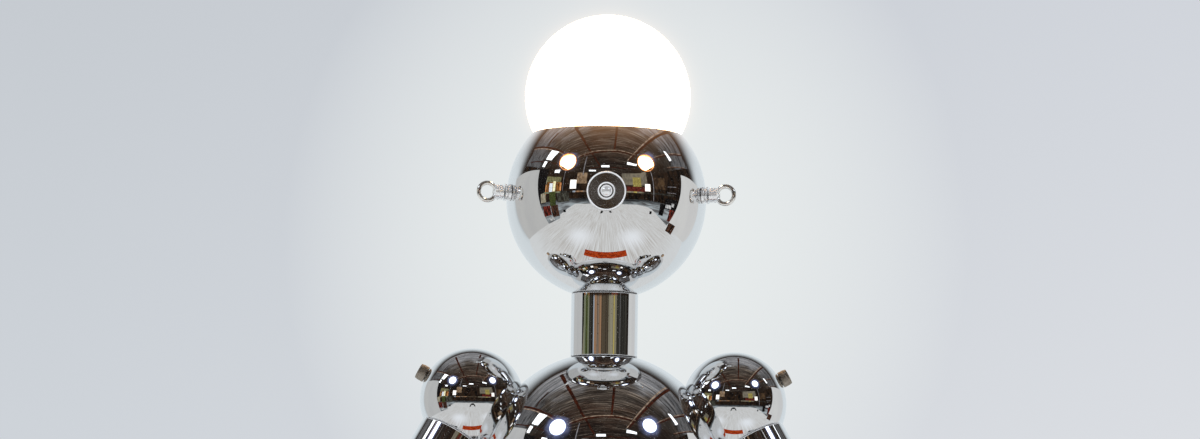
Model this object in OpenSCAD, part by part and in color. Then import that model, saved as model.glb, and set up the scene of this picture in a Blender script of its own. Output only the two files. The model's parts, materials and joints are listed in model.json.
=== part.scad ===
// Robot shaped lamp: a standing figure of spun metal spheres and polished tubes.
// A lamp pipe clamps pelvis, waist, torso, neck and head in one stack. The arms and legs
// are tubes pulled onto joint balls by tie rods, and the balls turn on pivot studs and pins.
// Up is +Z and the floor is z = 0. The robot faces -Y, and left is its own left, at +X.

/* [Spheres] */
// Diameter of the head sphere
head_d = 150; // [140:1:160]
// Height of the head's open rim above the head's centre
head_rim_z = 48.8; // [47:0.1:52]
// Diameter of the torso sphere
torso_d = 180; // [165:1:200]
// Diameter of the pelvis sphere
pelvis_d = 130; // [120:1:145]
// Diameter of the joint balls at shoulders, elbows, hips and knees
ball_d = 78; // [72:1:84]
// Diameter of the domed feet
foot_d = 120; // [100:1:130]
// Wall of the spun spheres, balls and feet
shell_wall = 1; // [0.8:0.1:1.1]
// Thickness of the felt soles
sole_t = 3; // [2:0.5:5]

/* [Tubes] */
// Outer diameter of the neck, waist, arm and leg tubes
tube_d = 50; // [44:1:52]
// Wall of the tubes
tube_wall = 1.5; // [1:0.1:2]
// Length of the neck tube
neck_len = 47; // [40:1:70]
// Length of the waist tube
waist_len = 30; // [20:1:50]
// Length of each upper arm tube
upper_arm_len = 75; // [60:1:110]
// Length of each forearm tube
forearm_len = 70; // [50:1:100]
// Length of each thigh tube
thigh_len = 85; // [60:1:120]
// Length of each shin tube
shin_len = 85; // [60:1:120]

/* [Pose] */
// Tilt of the shoulder pivots above the horizontal, in degrees
shoulder_tilt = 28.4; // [20:0.1:35]
// Swing of the arms to the front, in degrees
arm_swing = 12; // [0:1:15]
// Largest bend of an elbow or knee, in degrees
knuckle_bend = 90; // [60:1:100]

/* [Eyes and ears] */
// Diameter of the two eye holes
eye_d = 12.5; // [8:0.5:18]
// Angle of each eye hole from the front, in degrees
eye_azimuth = 23.6; // [18:0.1:30]
// Angle of the eye holes above the head's equator, in degrees
eye_elevation = 16; // [12:0.5:22]
// Angle of each ear forward of the robot's side, in degrees
ear_forward = 16.5; // [0:0.5:25]
// Height of the ears above the head's centre
ear_z = 1.9; // [0:0.1:6]
// Outer diameter of the ear rings
ear_ring_d = 16.5; // [14:0.5:22]
// Diameter of the ear rings' wire
ear_wire_d = 3.4; // [2.5:0.1:4]
// Diameter of the ears' barrels
ear_barrel_d = 11.2; // [9:0.2:12]
// Length of the ears' barrels
ear_barrel_len = 8; // [6:0.5:12]

/* [Nose switch] */
// Diameter of the nose knob
nose_d = 29; // [25:0.5:34]
// Depth of the nose knob
nose_depth = 6.5; // [5.5:0.5:9]
// Width of the nose knob's raised rim
nose_rim = 1.1; // [0.8:0.1:2]
// Wall of the nose knob round the hollow in its back
nose_wall = 2; // [1.5:0.1:3]
// Diameter of the screw in the middle of the nose knob
nose_screw_d = 12.8; // [11:0.2:16]
// Drop of the nose below the head's centre
nose_drop = 2.2; // [0:0.1:5]
// Diameter of the dimmer switch's housing
switch_d = 24; // [20:0.5:28]
// Length of the dimmer switch's housing
switch_len = 18; // [14:0.5:22]

/* [Bulb] */
// Diameter of the globe bulb
globe_d = 124; // [118:0.5:124]
// Height of the globe's centre above the head's centre
globe_z = 77.5; // [77:0.1:82]
// Length of the globe bulb with its screw cap
bulb_len = 172; // [168:1:178]
// Diameter of the globe's neck
bulb_neck_d = 33; // [28:0.5:36]
// Wall of the globe
globe_wall = 1; // [0.8:0.1:1.5]
// Diameter of the bulb's screw cap
bulb_cap_d = 26.4; // [25:0.1:26.8]
// Length of the bulb's screw cap
bulb_cap_len = 27; // [25:0.5:28]
// Outer diameter of the lampholder
holder_d = 40; // [38:0.5:44]

/* [Hands] */
// Inner diameter of the clip hands
hand_bore_d = 40; // [32:1:48]
// Thickness of the clip hands' band
hand_band_t = 3; // [2:0.5:4]
// Width of the clip hands' band
hand_band_w = 18; // [12:1:24]
// Opening angle of the clip hands, in degrees
hand_open = 110; // [80:1:140]
// Length of the boss between a hand and its wrist plug
hand_boss_len = 6; // [4:0.5:10]
// Thickness of the wrist plugs' face
plug_face_t = 4; // [2:0.5:6]

/* [Fixings] */
// Diameter of the pivot studs, pins and tie rods
rod_d = 6; // [5:0.5:7]
// Diameter of the thumb nuts
thumb_d = 12.2; // [11:0.1:16]
// Height of the thumb nuts
thumb_h = 7; // [6:0.5:10]
// Number of knurls round a thumb nut
thumb_knurls = 30; // [18:1:40]
// Outer diameter of the lamp pipe
pipe_d = 10; // [9:0.5:11]
// Bore of the lamp pipe
pipe_bore_d = 7.6; // [6.6:0.1:8]
// Bore of the cord bushing in the lamp pipe's lower end
bushing_bore_d = 6; // [4:0.1:6.2]

/* [Clearances] */
// Gap between a piece and the curved shell that it seats on
seat_gap = 0.1; // [0.05:0.05:0.3]
// Radial gap of a bore that turns on its stud, pin or pipe
running_gap = 0.08; // [0.03:0.01:0.1]
// Radial gap of threads and plugs that stand still
thread_gap = 0.05; // [0.02:0.01:0.1]
// Gap between a limb's tube and the sphere that the limb hangs on
limb_gap = 1.9; // [1:0.1:4]

/* [Hidden] */
$fn = 96;
LEFT = 1;
RIGHT = -1;
through = 1;

head_r = head_d / 2;
torso_r = torso_d / 2;
pelvis_r = pelvis_d / 2;
ball_r = ball_d / 2;
foot_r = foot_d / 2;
tube_r = tube_d / 2;
tube_bore_r = tube_r - tube_wall;
rod_r = rod_d / 2;
rod_bore_r = rod_r + running_gap;
thread_r = rod_r + thread_gap;
pipe_r = pipe_d / 2;
pipe_hole_r = pipe_r + running_gap;
globe_r = globe_d / 2;

// Distance from a sphere's centre to the square end of a tube that stands on it
function tube_seat(sphere_r) = sqrt(pow(sphere_r + seat_gap, 2) - pow(tube_bore_r, 2));
// Distance from a sphere's centre to a flat face that lies on it round a hole
function outer_seat(sphere_r, hole_r) = sqrt(pow(sphere_r, 2) - pow(hole_r, 2)) + seat_gap;
// Distance from a sphere's centre to a flat face of radius face_r that lies inside its shell
function inner_seat(sphere_r, face_r) =
    sqrt(pow(sphere_r - shell_wall, 2) - pow(face_r, 2)) - seat_gap;
// Distance from a sphere's centre to the centre of a joint ball that hangs on it
function ball_offset(sphere_r) =
    sqrt(pow(sphere_r, 2) - pow(tube_seat(ball_r), 2)) + tube_r + limb_gap;

// Fasteners, sized from the rod or pipe that they are screwed onto
nut_r = rod_d * 0.96;
nut_h = rod_d * 0.8;
washer_r = rod_d * 1.1;
washer_t = 1.2;
rod_end = 2;
pipe_nut_r = pipe_d * 0.81;
pipe_nut_h = 5;
pipe_washer_r = pipe_d * 1.2;
pipe_washer_t = 2;
ring_t = 3;

// Heights of the centres, built up from the floor
foot_z = sole_t;
shin_span = tube_seat(ball_r) + shin_len + tube_seat(foot_r);
thigh_span = 2 * tube_seat(ball_r) + thigh_len;
upper_arm_span = 2 * tube_seat(ball_r) + upper_arm_len;
knee_z = foot_z + shin_span;
hip_z = knee_z + thigh_span;
torso_z = hip_z + tube_seat(pelvis_r) + waist_len + tube_seat(torso_r);
head_z = torso_z + tube_seat(torso_r) + neck_len + tube_seat(head_r);
hip_offset = ball_offset(pelvis_r);
shoulder_offset = ball_offset(torso_r);

// Knuckle: the eye of the upper tie rod turns on the pin inside the slotted ball
eye_r = rod_d * 1.4;
eye_t = rod_d + 1.2;
slot_w = rod_d + 1;
spacer_r = rod_r + 2;
pin_head_r = rod_d * 0.95;
pin_head_h = 3.2;

// Hand, measured down from the elbow's centre
plug_top = tube_seat(ball_r) + forearm_len;
plug_spigot = 8;
wrist_at = plug_top + plug_face_t;
hand_r = hand_bore_d / 2 + hand_band_t;
hand_boss_r = 8;
hand_at = wrist_at + seat_gap + hand_boss_len + hand_r;
acorn_r = nut_r;
acorn_h = nut_h + 3;

// Bulb and lampholder, measured from the head's centre
bulb_base = globe_z + globe_r - bulb_len;
bulb_cap_r = bulb_cap_d / 2;
bulb_neck_r = bulb_neck_d / 2;
bulb_fillet = 20;
bulb_cap_top = bulb_base + bulb_cap_len;
holder_r = holder_d / 2;
holder_wall = 2;
holder_floor_t = 4;
holder_top = bulb_cap_top - 1;
holder_split = bulb_base - 1 - holder_floor_t;
holder_cap_h = 16;
pipe_in_holder = 8;
contact_r = 4;

// Nose switch, measured forward from the head's centre
nose_r = nose_d / 2;
nose_screw_r = nose_screw_d / 2;
collar_r = 5;
collar_nut_r = 8;
collar_nut_h = 2;
shaft_r = 3;
nose_recess_r = nose_r - nose_wall;
nose_clearance = 0.2;
nose_back = outer_seat(head_r, nose_recess_r - nose_drop) + nose_clearance;
nose_front = nose_back + nose_depth;
nose_face = nose_front - 0.8;
collar_nut_at = outer_seat(head_r, collar_r + thread_gap);
nose_recess_at = collar_nut_at + collar_nut_h + 0.5;
switch_at = inner_seat(head_r, switch_d / 2 + nose_drop);
nose_dome_r = nose_screw_r * 0.7;

// Ears, measured outward from the head's surface
ear_foot_r = 6.4;
ear_foot_t = 2.2;
ear_neck_r = 4.8;
ear_neck_len = 1.2;
ear_flange_r = 6.5;
ear_flange_t = 1.2;
ear_thread_r = 2.5;
ear_barrel_at = ear_foot_t + ear_neck_len + ear_flange_t;

// ---------------------------------------------------------------- places

module sided(side) {
    if (side == LEFT)
        children();
    else
        mirror([1, 0, 0]) children();
}

// A pivot's own frame: origin at the centre of the sphere that carries it, +X out along it
module at_shoulder_pivot(side)
    sided(side) translate([0, 0, torso_z]) rotate([0, -shoulder_tilt, 0]) children();

module at_hip_pivot(side)
    sided(side) translate([0, 0, hip_z]) children();

// A limb's own frame: origin at its upper ball's centre, the limb along -Z, its pin along X
module at_shoulder(side)
    at_shoulder_pivot(side) translate([shoulder_offset, 0, 0]) rotate([-arm_swing, 0, 0])
        children();

module at_elbow(side)
    at_shoulder(side) translate([0, 0, -upper_arm_span]) children();

module at_hip(side)
    at_hip_pivot(side) translate([hip_offset, 0, 0]) children();

module at_knee(side)
    at_hip(side) translate([0, 0, -thigh_span]) children();

// The head's own frame, and the frames of an ear and of the nose: +Z points out of the head
module at_head()
    translate([0, 0, head_z]) children();

module at_ear(side)
    at_head() sided(side) translate([0, 0, ear_z]) rotate([0, 0, -ear_forward])
        rotate([0, 90, 0]) children();

module at_nose()
    at_head() translate([0, 0, -nose_drop]) rotate([90, 0, 0]) children();

// Turns a piece that is drawn along +Z so that it points along +X
module along_x()
    rotate([0, 90, 0]) children();

// ---------------------------------------------------------------- common shapes

module hollow_ball(r)
    difference() {
        sphere(r = r);
        sphere(r = r - shell_wall);
    }

module ring(outer, inner, h)
    difference() {
        cylinder(r = outer, h = h);
        translate([0, 0, -through]) cylinder(r = inner, h = h + 2 * through);
    }

module pipe_run(outer, inner, from, to)
    translate([0, 0, from]) ring(outer, inner, to - from);

// Upright tube between two spheres, its lower end at height from
module body_tube(from, len)
    pipe_run(tube_r, tube_bore_r, from, from + len);

// Tube of a limb, its upper end on the ball at the origin
module limb_tube(len)
    pipe_run(tube_r, tube_bore_r, -tube_seat(ball_r) - len, -tube_seat(ball_r));

module hex_nut(r, bore, h)
    difference() {
        intersection() {
            cylinder(r = r, h = h, $fn = 6);
            cylinder(r = r * 0.96, h = h);
        }
        translate([0, 0, -through]) cylinder(r = bore, h = h + 2 * through);
    }

// Washer and nut on a rod, the washer's face at z = 0
module washer_and_nut() {
    ring(washer_r, thread_r, washer_t);
    translate([0, 0, washer_t]) hex_nut(nut_r, thread_r, nut_h);
}

// Knurled thumb nut on a narrower seat, open at z = 0 and closed at its top
module thumb_nut() {
    seat_t = 0.9;
    chamfer = 0.8;
    knurl_depth = 0.35;
    cap_t = 1.5;
    thumb_r = thumb_d / 2;
    difference() {
        intersection() {
            linear_extrude(thumb_h)
                polygon([for (i = [0 : 2 * thumb_knurls - 1])
                    let (a = i * 180 / thumb_knurls, r = thumb_r - (i % 2) * knurl_depth)
                    [r * cos(a), r * sin(a)]]);
            // blank with its two edges broken, wider than the knurls between them
            rotate_extrude()
                polygon([
                    [0, 0], [thumb_r * 0.7, 0], [thumb_r * 0.7, seat_t],
                    [thumb_r - chamfer / 2, seat_t], [thumb_r + chamfer, seat_t + chamfer * 1.5],
                    [thumb_r + chamfer, thumb_h - chamfer * 2],
                    [thumb_r - chamfer, thumb_h], [0, thumb_h]
                ]);
        }
        translate([0, 0, -through]) cylinder(r = thread_r, h = thumb_h - cap_t + through);
    }
}

// ---------------------------------------------------------------- shells of the body

module torso_shell() color("silver")
    translate([0, 0, torso_z]) difference() {
        hollow_ball(torso_r);
        translate([0, 0, -torso_r - through])
            cylinder(r = pipe_hole_r, h = torso_d + 2 * through);
        for (side = [LEFT, RIGHT])
            sided(side) rotate([0, -shoulder_tilt, 0]) along_x()
                cylinder(r = rod_bore_r, h = torso_r + through);
    }

module pelvis_shell() color("silver")
    translate([0, 0, hip_z]) difference() {
        hollow_ball(pelvis_r);
        translate([0, 0, -pelvis_r - through])
            cylinder(r = pipe_hole_r, h = pelvis_d + 2 * through);
        translate([-pelvis_r - through, 0, 0]) along_x()
            cylinder(r = rod_bore_r, h = pelvis_d + 2 * through);
    }

module head_shell() color("silver")
    at_head() difference() {
        hollow_ball(head_r);
        translate([-head_d, -head_d, head_rim_z]) cube([2 * head_d, 2 * head_d, head_d]);
        translate([0, 0, -head_r - through]) cylinder(r = pipe_hole_r, h = head_r);
        for (side = [LEFT, RIGHT]) {
            rotate([0, 0, side * eye_azimuth]) rotate([90 - eye_elevation, 0, 0])
                cylinder(r = eye_d / 2, h = head_r + through);
            sided(side) translate([0, 0, ear_z]) rotate([0, 0, -ear_forward]) along_x()
                cylinder(r = ear_thread_r + thread_gap, h = head_r + through);
        }
        translate([0, 0, -nose_drop]) rotate([90, 0, 0])
            cylinder(r = collar_r + thread_gap, h = head_r + through);
    }

module neck_tube() color("silver")
    body_tube(torso_z + tube_seat(torso_r), neck_len);

module waist_tube() color("silver")
    body_tube(hip_z + tube_seat(pelvis_r), waist_len);

// ---------------------------------------------------------------- the clamped stack

pipe_bottom = hip_z - outer_seat(pelvis_r, pipe_hole_r) - pipe_washer_t - pipe_nut_h - rod_end;
pipe_top = head_z + holder_split - holder_cap_h + pipe_in_holder;

module lamp_pipe() color("dimgray")
    pipe_run(pipe_r, pipe_bore_d / 2, pipe_bottom, pipe_top);

// Discs that hold the neck and waist tubes central on the pipe
module centring_rings() color("gainsboro") {
    disc_r = tube_bore_r - seat_gap;
    for (z = [hip_z + outer_seat(pelvis_r, pipe_hole_r), torso_z + outer_seat(torso_r, pipe_hole_r)])
        translate([0, 0, z]) ring(disc_r, pipe_hole_r, ring_t);
    for (z = [torso_z - outer_seat(torso_r, pipe_hole_r), head_z - outer_seat(head_r, pipe_hole_r)])
        translate([0, 0, z - ring_t]) ring(disc_r, pipe_hole_r, ring_t);
}

// Washer and nut inside the head, and washer and nut under the pelvis
module pipe_fixings() color("gold") {
    pipe_thread_r = pipe_r + thread_gap;
    translate([0, 0, head_z - inner_seat(head_r, pipe_washer_r)]) {
        ring(pipe_washer_r, pipe_thread_r, pipe_washer_t);
        translate([0, 0, pipe_washer_t]) hex_nut(pipe_nut_r, pipe_thread_r, pipe_nut_h);
    }
    translate([0, 0, hip_z - outer_seat(pelvis_r, pipe_hole_r)]) mirror([0, 0, 1]) {
        ring(pipe_washer_r, pipe_thread_r, pipe_washer_t);
        translate([0, 0, pipe_washer_t]) hex_nut(pipe_nut_r, pipe_thread_r, pipe_nut_h);
    }
}

// Insulating bushing where a cord enters the pipe
module cord_bushing() color("black") {
    flange_r = pipe_r + 0.6;
    flange_t = 1.5;
    spigot_len = 10;
    translate([0, 0, pipe_bottom]) difference() {
        union() {
            translate([0, 0, -flange_t]) cylinder(r = flange_r, h = flange_t);
            cylinder(r = pipe_bore_d / 2 - thread_gap, h = spigot_len);
        }
        translate([0, 0, -flange_t - through])
            cylinder(r = bushing_bore_d / 2, h = spigot_len + flange_t + 2 * through);
    }
}

// ---------------------------------------------------------------- pivots of arms and legs

module pivot_set() {
    for (side = [LEFT, RIGHT]) {
        at_shoulder_pivot(side) {
            $carrier_r = torso_r;
            $offset = shoulder_offset;
            along_x() children();
        }
        at_hip_pivot(side) {
            $carrier_r = pelvis_r;
            $offset = hip_offset;
            along_x() children();
        }
    }
}

// Distance from the sphere's centre to a thumb nut's inner face
function thumb_at(offset) = offset + outer_seat(ball_r, rod_bore_r);

module weld_nuts() color("gray")
    pivot_set()
        translate([0, 0, inner_seat($carrier_r, nut_r) - nut_h]) hex_nut(nut_r, thread_r, nut_h);

module pivot_studs() color("gray")
    pivot_set() {
        inner_end = inner_seat($carrier_r, nut_r) - nut_h - rod_end;
        outer_end = thumb_at($offset) + thumb_h - 2;
        translate([0, 0, inner_end]) cylinder(r = rod_r, h = outer_end - inner_end);
    }

module thumb_nuts() color("peru")
    pivot_set()
        translate([0, 0, thumb_at($offset)]) thumb_nut();

// ---------------------------------------------------------------- bulb and lampholder

module lampholder_cap() color("goldenrod") {
    shoulder = 6;
    at_head() translate([0, 0, holder_split - holder_cap_h]) difference() {
        rotate_extrude()
            polygon([
                [0, 0], [pipe_nut_r, 0], [holder_r, shoulder], [holder_r, holder_cap_h],
                [0, holder_cap_h]
            ]);
        translate([0, 0, -through]) cylinder(r = pipe_r + thread_gap, h = pipe_in_holder + through);
        translate([0, 0, pipe_in_holder - through / 2])
            cylinder(r = holder_r - holder_wall, h = holder_cap_h);
    }
}

module lampholder_shell() color("goldenrod")
    at_head() pipe_run(holder_r, holder_r - holder_wall, holder_split, holder_top);

module lampholder_core() color("white") {
    core_r = holder_r - holder_wall - seat_gap;
    at_head() {
        difference() {
            translate([0, 0, holder_split]) cylinder(r = core_r, h = holder_top - 2 - holder_split);
            translate([0, 0, holder_split + holder_floor_t])
                cylinder(r = bulb_cap_r + 0.3, h = bulb_cap_len + through);
        }
        // centre contact under the bulb's cap
        translate([0, 0, holder_split + holder_floor_t]) cylinder(r = contact_r, h = 0.8);
    }
}

module bulb_cap() color("silver") {
    taper = 5;
    at_head() translate([0, 0, bulb_base]) difference() {
        rotate_extrude()
            polygon([
                [0, 0], [contact_r + 1, 0], [bulb_cap_r, taper], [bulb_cap_r, bulb_cap_len],
                [0, bulb_cap_len]
            ]);
        translate([0, 0, taper]) cylinder(r = bulb_cap_r - 0.4, h = bulb_cap_len);
    }
}

// Globe with a neck that flares into it. inset is the glass's thickness for its inner face
module globe_solid(inset) {
    r = globe_r - inset;
    neck_r = bulb_neck_r - inset;
    fillet = bulb_fillet + inset;
    fillet_z = -sqrt(pow(r + fillet, 2) - pow(neck_r + fillet, 2));
    touch = r / (r + fillet);
    neck_end = bulb_cap_top - globe_z;
    sphere(r = r);
    rotate_extrude()
        difference() {
            polygon([
                [0, neck_end], [neck_r, neck_end], [neck_r, fillet_z],
                [(neck_r + fillet) * touch, fillet_z], [(neck_r + fillet) * touch, fillet_z * touch],
                [0, fillet_z * touch]
            ]);
            translate([neck_r + fillet, fillet_z]) circle(r = fillet);
        }
}

module bulb_globe() color("ivory")
    at_head() translate([0, 0, globe_z]) difference() {
        globe_solid(0);
        globe_solid(globe_wall);
    }

// ---------------------------------------------------------------- ears

module ear_loops() color("silver")
    for (side = [LEFT, RIGHT])
        at_ear(side) {
            ring_major = (ear_ring_d - ear_wire_d) / 2;
            thread_end = inner_seat(head_r, ear_thread_r) - ear_thread_r * 2;
            edge = 0.6;
            // stud through the head's wall and the collar
            translate([0, 0, thread_end])
                cylinder(r = ear_thread_r, h = head_r + ear_barrel_at - thread_end);
            // barrel with broken edges
            translate([0, 0, head_r + ear_barrel_at]) rotate_extrude()
                polygon([
                    [0, 0], [ear_barrel_d / 2 - edge, 0], [ear_barrel_d / 2, edge],
                    [ear_barrel_d / 2, ear_barrel_len - edge],
                    [ear_barrel_d / 2 - edge, ear_barrel_len], [0, ear_barrel_len]
                ]);
            // ring, upright and facing the front
            translate([0, 0, head_r + ear_barrel_at + ear_barrel_len + ring_major - ear_wire_d / 2])
                rotate([90, 0, 0]) rotate_extrude()
                    translate([ring_major, 0]) circle(r = ear_wire_d / 2);
        }

// A stepped collar outside the head and a nut inside it, on each ear's stud
module ear_fixings() color("silver")
    for (side = [LEFT, RIGHT])
        at_ear(side) {
            bore = ear_thread_r + thread_gap;
            nut = ear_thread_r * 1.9;
            foot_at = outer_seat(head_r, bore) + 0.2;
            difference() {
                rotate_extrude()
                    polygon([
                        [0, foot_at], [ear_foot_r, foot_at],
                        [ear_foot_r, head_r + ear_foot_t], [ear_neck_r, head_r + ear_foot_t],
                        [ear_neck_r, head_r + ear_foot_t + ear_neck_len],
                        [ear_flange_r, head_r + ear_foot_t + ear_neck_len],
                        [ear_flange_r, head_r + ear_barrel_at], [0, head_r + ear_barrel_at]
                    ]);
                translate([0, 0, head_r - through])
                    cylinder(r = bore, h = ear_barrel_at + 2 * through);
            }
            translate([0, 0, inner_seat(head_r, nut) - 0.1 - nut_h * 0.8])
                hex_nut(nut, bore, nut_h * 0.8);
        }

// ---------------------------------------------------------------- nose switch

// Dimmer body inside the head, with a threaded collar through the head's wall
module switch_housing() color("black")
    at_nose() difference() {
        union() {
            translate([0, 0, switch_at - switch_len]) cylinder(r = switch_d / 2, h = switch_len);
            cylinder_from = switch_at - 1;
            translate([0, 0, cylinder_from])
                cylinder(r = collar_r, h = collar_nut_at + collar_nut_h - cylinder_from);
        }
        translate([0, 0, switch_at - switch_len / 2])
            cylinder(r = shaft_r + running_gap, h = head_r);
    }

module switch_nut() color("gray")
    at_nose() translate([0, 0, collar_nut_at])
        hex_nut(collar_nut_r, collar_r + thread_gap, collar_nut_h);

module switch_shaft() color("gray") {
    from = switch_at - switch_len / 2 + running_gap;
    at_nose() translate([0, 0, from]) cylinder(r = shaft_r, h = nose_face - from);
}

// Knob with a raised rim round its flat face, hollow behind to cover the switch's nut
module nose_knob() color("silver") {
    edge = 0.6;
    at_nose() difference() {
        rotate_extrude()
            polygon([
                [0, nose_back], [nose_r - edge, nose_back], [nose_r, nose_back + edge],
                [nose_r, nose_front - edge], [nose_r - edge, nose_front],
                [nose_r - nose_rim, nose_front], [nose_r - nose_rim, nose_face], [0, nose_face]
            ]);
        translate([0, 0, nose_back - through])
            cylinder(r = nose_recess_r, h = nose_recess_at - nose_back + through);
        cylinder(r = shaft_r + thread_gap, h = nose_front + through);
    }
}

// Grooved screw with a domed middle that holds the knob on the shaft
module nose_screw() color("silver") {
    rim_h = 2.2;
    groove = 0.8;
    at_nose() translate([0, 0, nose_face]) {
        difference() {
            cylinder(r = nose_screw_r, h = rim_h);
            translate([0, 0, rim_h - groove])
                cylinder(r = nose_screw_r - 1.1, h = groove + through);
        }
        // dome, a cap of a sphere that is nose_dome_r wide and half as high
        dome_h = nose_dome_r / 2;
        dome_sphere = (pow(nose_dome_r, 2) + pow(dome_h, 2)) / (2 * dome_h);
        intersection() {
            cylinder(r = nose_dome_r, h = rim_h + dome_h);
            translate([0, 0, rim_h - groove + dome_h - dome_sphere]) sphere(r = dome_sphere);
        }
    }
}

// ---------------------------------------------------------------- arms and legs

// Ball that hangs on the body: dished to fit its sphere, bored for the stud and the tie rod
module root_ball(carrier_r)
    difference() {
        along_x() rotate_extrude() difference() {
            circle(r = ball_r);
            circle(r = ball_r - shell_wall);
            translate([0, -ball_offset(carrier_r)]) circle(r = carrier_r + seat_gap);
            translate([-ball_d, -ball_d]) square([ball_d, 2 * ball_d]);
            square([rod_bore_r, ball_d]);
        }
        mirror([0, 0, 1]) cylinder(r = thread_r, h = ball_r + through);
    }

// Slotted ball of an elbow or knee. The slot runs from the top to the front, where dir is
// 1, or to the back, where dir is -1, and lets the upper tie rod swing
module knuckle_ball(dir)
    difference() {
        hollow_ball(ball_r);
        along_x() translate([0, 0, -ball_r - through])
            cylinder(r = rod_bore_r, h = ball_d + 2 * through);
        mirror([0, 0, 1]) cylinder(r = thread_r, h = ball_r + through);
        intersection() {
            translate([-slot_w / 2, -ball_d, -ball_d]) cube([slot_w, 2 * ball_d, 2 * ball_d]);
            slot_sector(dir);
        }
        for (a = [0, knuckle_bend])
            rotate([dir * a, 0, 0]) cylinder(r = slot_w / 2, h = ball_r + through);
    }

// Wedge from straight up to the largest bend
module slot_sector(dir) {
    reach = ball_d;
    half = knuckle_bend / 2;
    along_x() translate([0, 0, -slot_w]) linear_extrude(2 * slot_w)
        polygon([
            [0, 0],
            [-reach, 0],
            [-reach * cos(half) * 1.5, -dir * reach * sin(half) * 1.5],
            [-reach * cos(knuckle_bend), -dir * reach * sin(knuckle_bend)]
        ]);
}

// Nut and washer inside a ball, round the rod that leaves it downwards
module tie_nut_in_ball()
    translate([0, 0, -inner_seat(ball_r, washer_r)]) washer_and_nut();

// Height of a tie rod's upper end, just past its nut inside the ball
tie_top = -inner_seat(ball_r, washer_r) + washer_t + nut_h + rod_end;

// Tie rod from the upper ball to the eye that turns on the knuckle's pin
module eye_tie(span) {
    difference() {
        union() {
            translate([0, 0, -span]) cylinder(r = rod_r, h = span + tie_top);
            translate([-eye_t / 2, 0, -span]) along_x() cylinder(r = eye_r, h = eye_t);
        }
        translate([-eye_t, 0, -span]) along_x() cylinder(r = rod_bore_r, h = 2 * eye_t);
    }
    tie_nut_in_ball();
}

// Pin across a knuckle: round head inside, thumb nut outside, and spacers that hold the
// tie rod's eye in the middle and keep the ball from crushing
module knuckle_pin() {
    head_at = outer_seat(ball_r, rod_bore_r);
    spacer_in = eye_t / 2 + seat_gap;
    spacer_out = inner_seat(ball_r, spacer_r);
    along_x() {
        translate([0, 0, -head_at]) cylinder(r = rod_r, h = 2 * head_at + thumb_h - 2);
        translate([0, 0, -head_at]) mirror([0, 0, 1]) pin_head();
        translate([0, 0, head_at]) thumb_nut();
    }
    for (side = [LEFT, RIGHT])
        sided(side) translate([spacer_in, 0, 0]) along_x()
            ring(spacer_r, thread_r, spacer_out - spacer_in);
}

// Domed head with a screwdriver slot
module pin_head()
    difference() {
        intersection() {
            cylinder(r = pin_head_r, h = pin_head_h);
            translate([0, 0, pin_head_h - pin_head_r * 1.4]) sphere(r = pin_head_r * 1.4);
        }
        translate([-pin_head_r, -0.5, pin_head_h - 1.2]) cube([2 * pin_head_r, 1, 2]);
    }

module wrist_plug()
    difference() {
        union() {
            translate([0, 0, -wrist_at]) cylinder(r = tube_r, h = plug_face_t);
            translate([0, 0, -plug_top])
                cylinder(r = tube_bore_r - thread_gap, h = plug_spigot);
        }
        translate([0, 0, -wrist_at - through])
            cylinder(r = thread_r, h = plug_face_t + plug_spigot + 2 * through);
    }

// Tie rod of a forearm, with its nut in the elbow ball and a domed nut inside the hand
module forearm_tie() {
    hand_floor = -hand_at + hand_bore_d / 2;
    rod_low = hand_floor - acorn_h + rod_end;
    translate([0, 0, rod_low]) cylinder(r = rod_r, h = tie_top - rod_low);
    tie_nut_in_ball();
    translate([0, 0, hand_floor - 0.6]) mirror([0, 0, 1]) difference() {
        union() {
            hex_nut(acorn_r, thread_r, nut_h);
            intersection() {
                cylinder(r = acorn_r * 0.85, h = acorn_h);
                translate([0, 0, acorn_h - acorn_r]) sphere(r = acorn_r);
            }
        }
        translate([0, 0, -through]) cylinder(r = thread_r, h = acorn_h - rod_end + through);
    }
}

// Open C band on a boss, with a flat seat for the domed nut
module hand_clip() {
    seat_r = acorn_r + 0.5;
    half_open = hand_open / 2;
    mid_r = hand_r - hand_band_t / 2;
    reach = 2 * hand_r;
    translate([0, 0, -hand_at]) difference() {
        union() {
            rotate([90, 0, 0]) {
                difference() {
                    translate([0, 0, -hand_band_w / 2])
                        ring(hand_r, hand_bore_d / 2, hand_band_w);
                    translate([0, 0, -hand_band_w]) linear_extrude(2 * hand_band_w)
                        polygon([
                            [0, 0],
                            [-reach * sin(half_open), -reach * cos(half_open)],
                            [-reach, -reach * 1.5], [reach, -reach * 1.5],
                            [reach * sin(half_open), -reach * cos(half_open)]
                        ]);
                }
                // rounded tips
                for (side = [LEFT, RIGHT])
                    translate([side * mid_r * sin(half_open), -mid_r * cos(half_open),
                               -hand_band_w / 2])
                        cylinder(r = hand_band_t * 0.65, h = hand_band_w);
            }
            translate([0, 0, hand_bore_d / 2 + hand_band_t / 2])
                cylinder(r = hand_boss_r, h = hand_boss_len + hand_band_t / 2);
        }
        translate([0, 0, hand_bore_d / 2 - hand_band_t])
            cylinder(r = rod_bore_r, h = reach);
        translate([0, 0, hand_bore_d / 2 - hand_band_t])
            cylinder(r = seat_r, h = hand_band_t - 0.5);
    }
}

// Tie rod of a shin, with its nuts in the knee ball and inside the foot's dome
module shin_tie() {
    foot_nut = -shin_span + inner_seat(foot_r, washer_r);
    rod_low = foot_nut - washer_t - nut_h - rod_end;
    translate([0, 0, rod_low]) cylinder(r = rod_r, h = tie_top - rod_low);
    tie_nut_in_ball();
    translate([0, 0, foot_nut]) mirror([0, 0, 1]) washer_and_nut();
}

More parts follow.
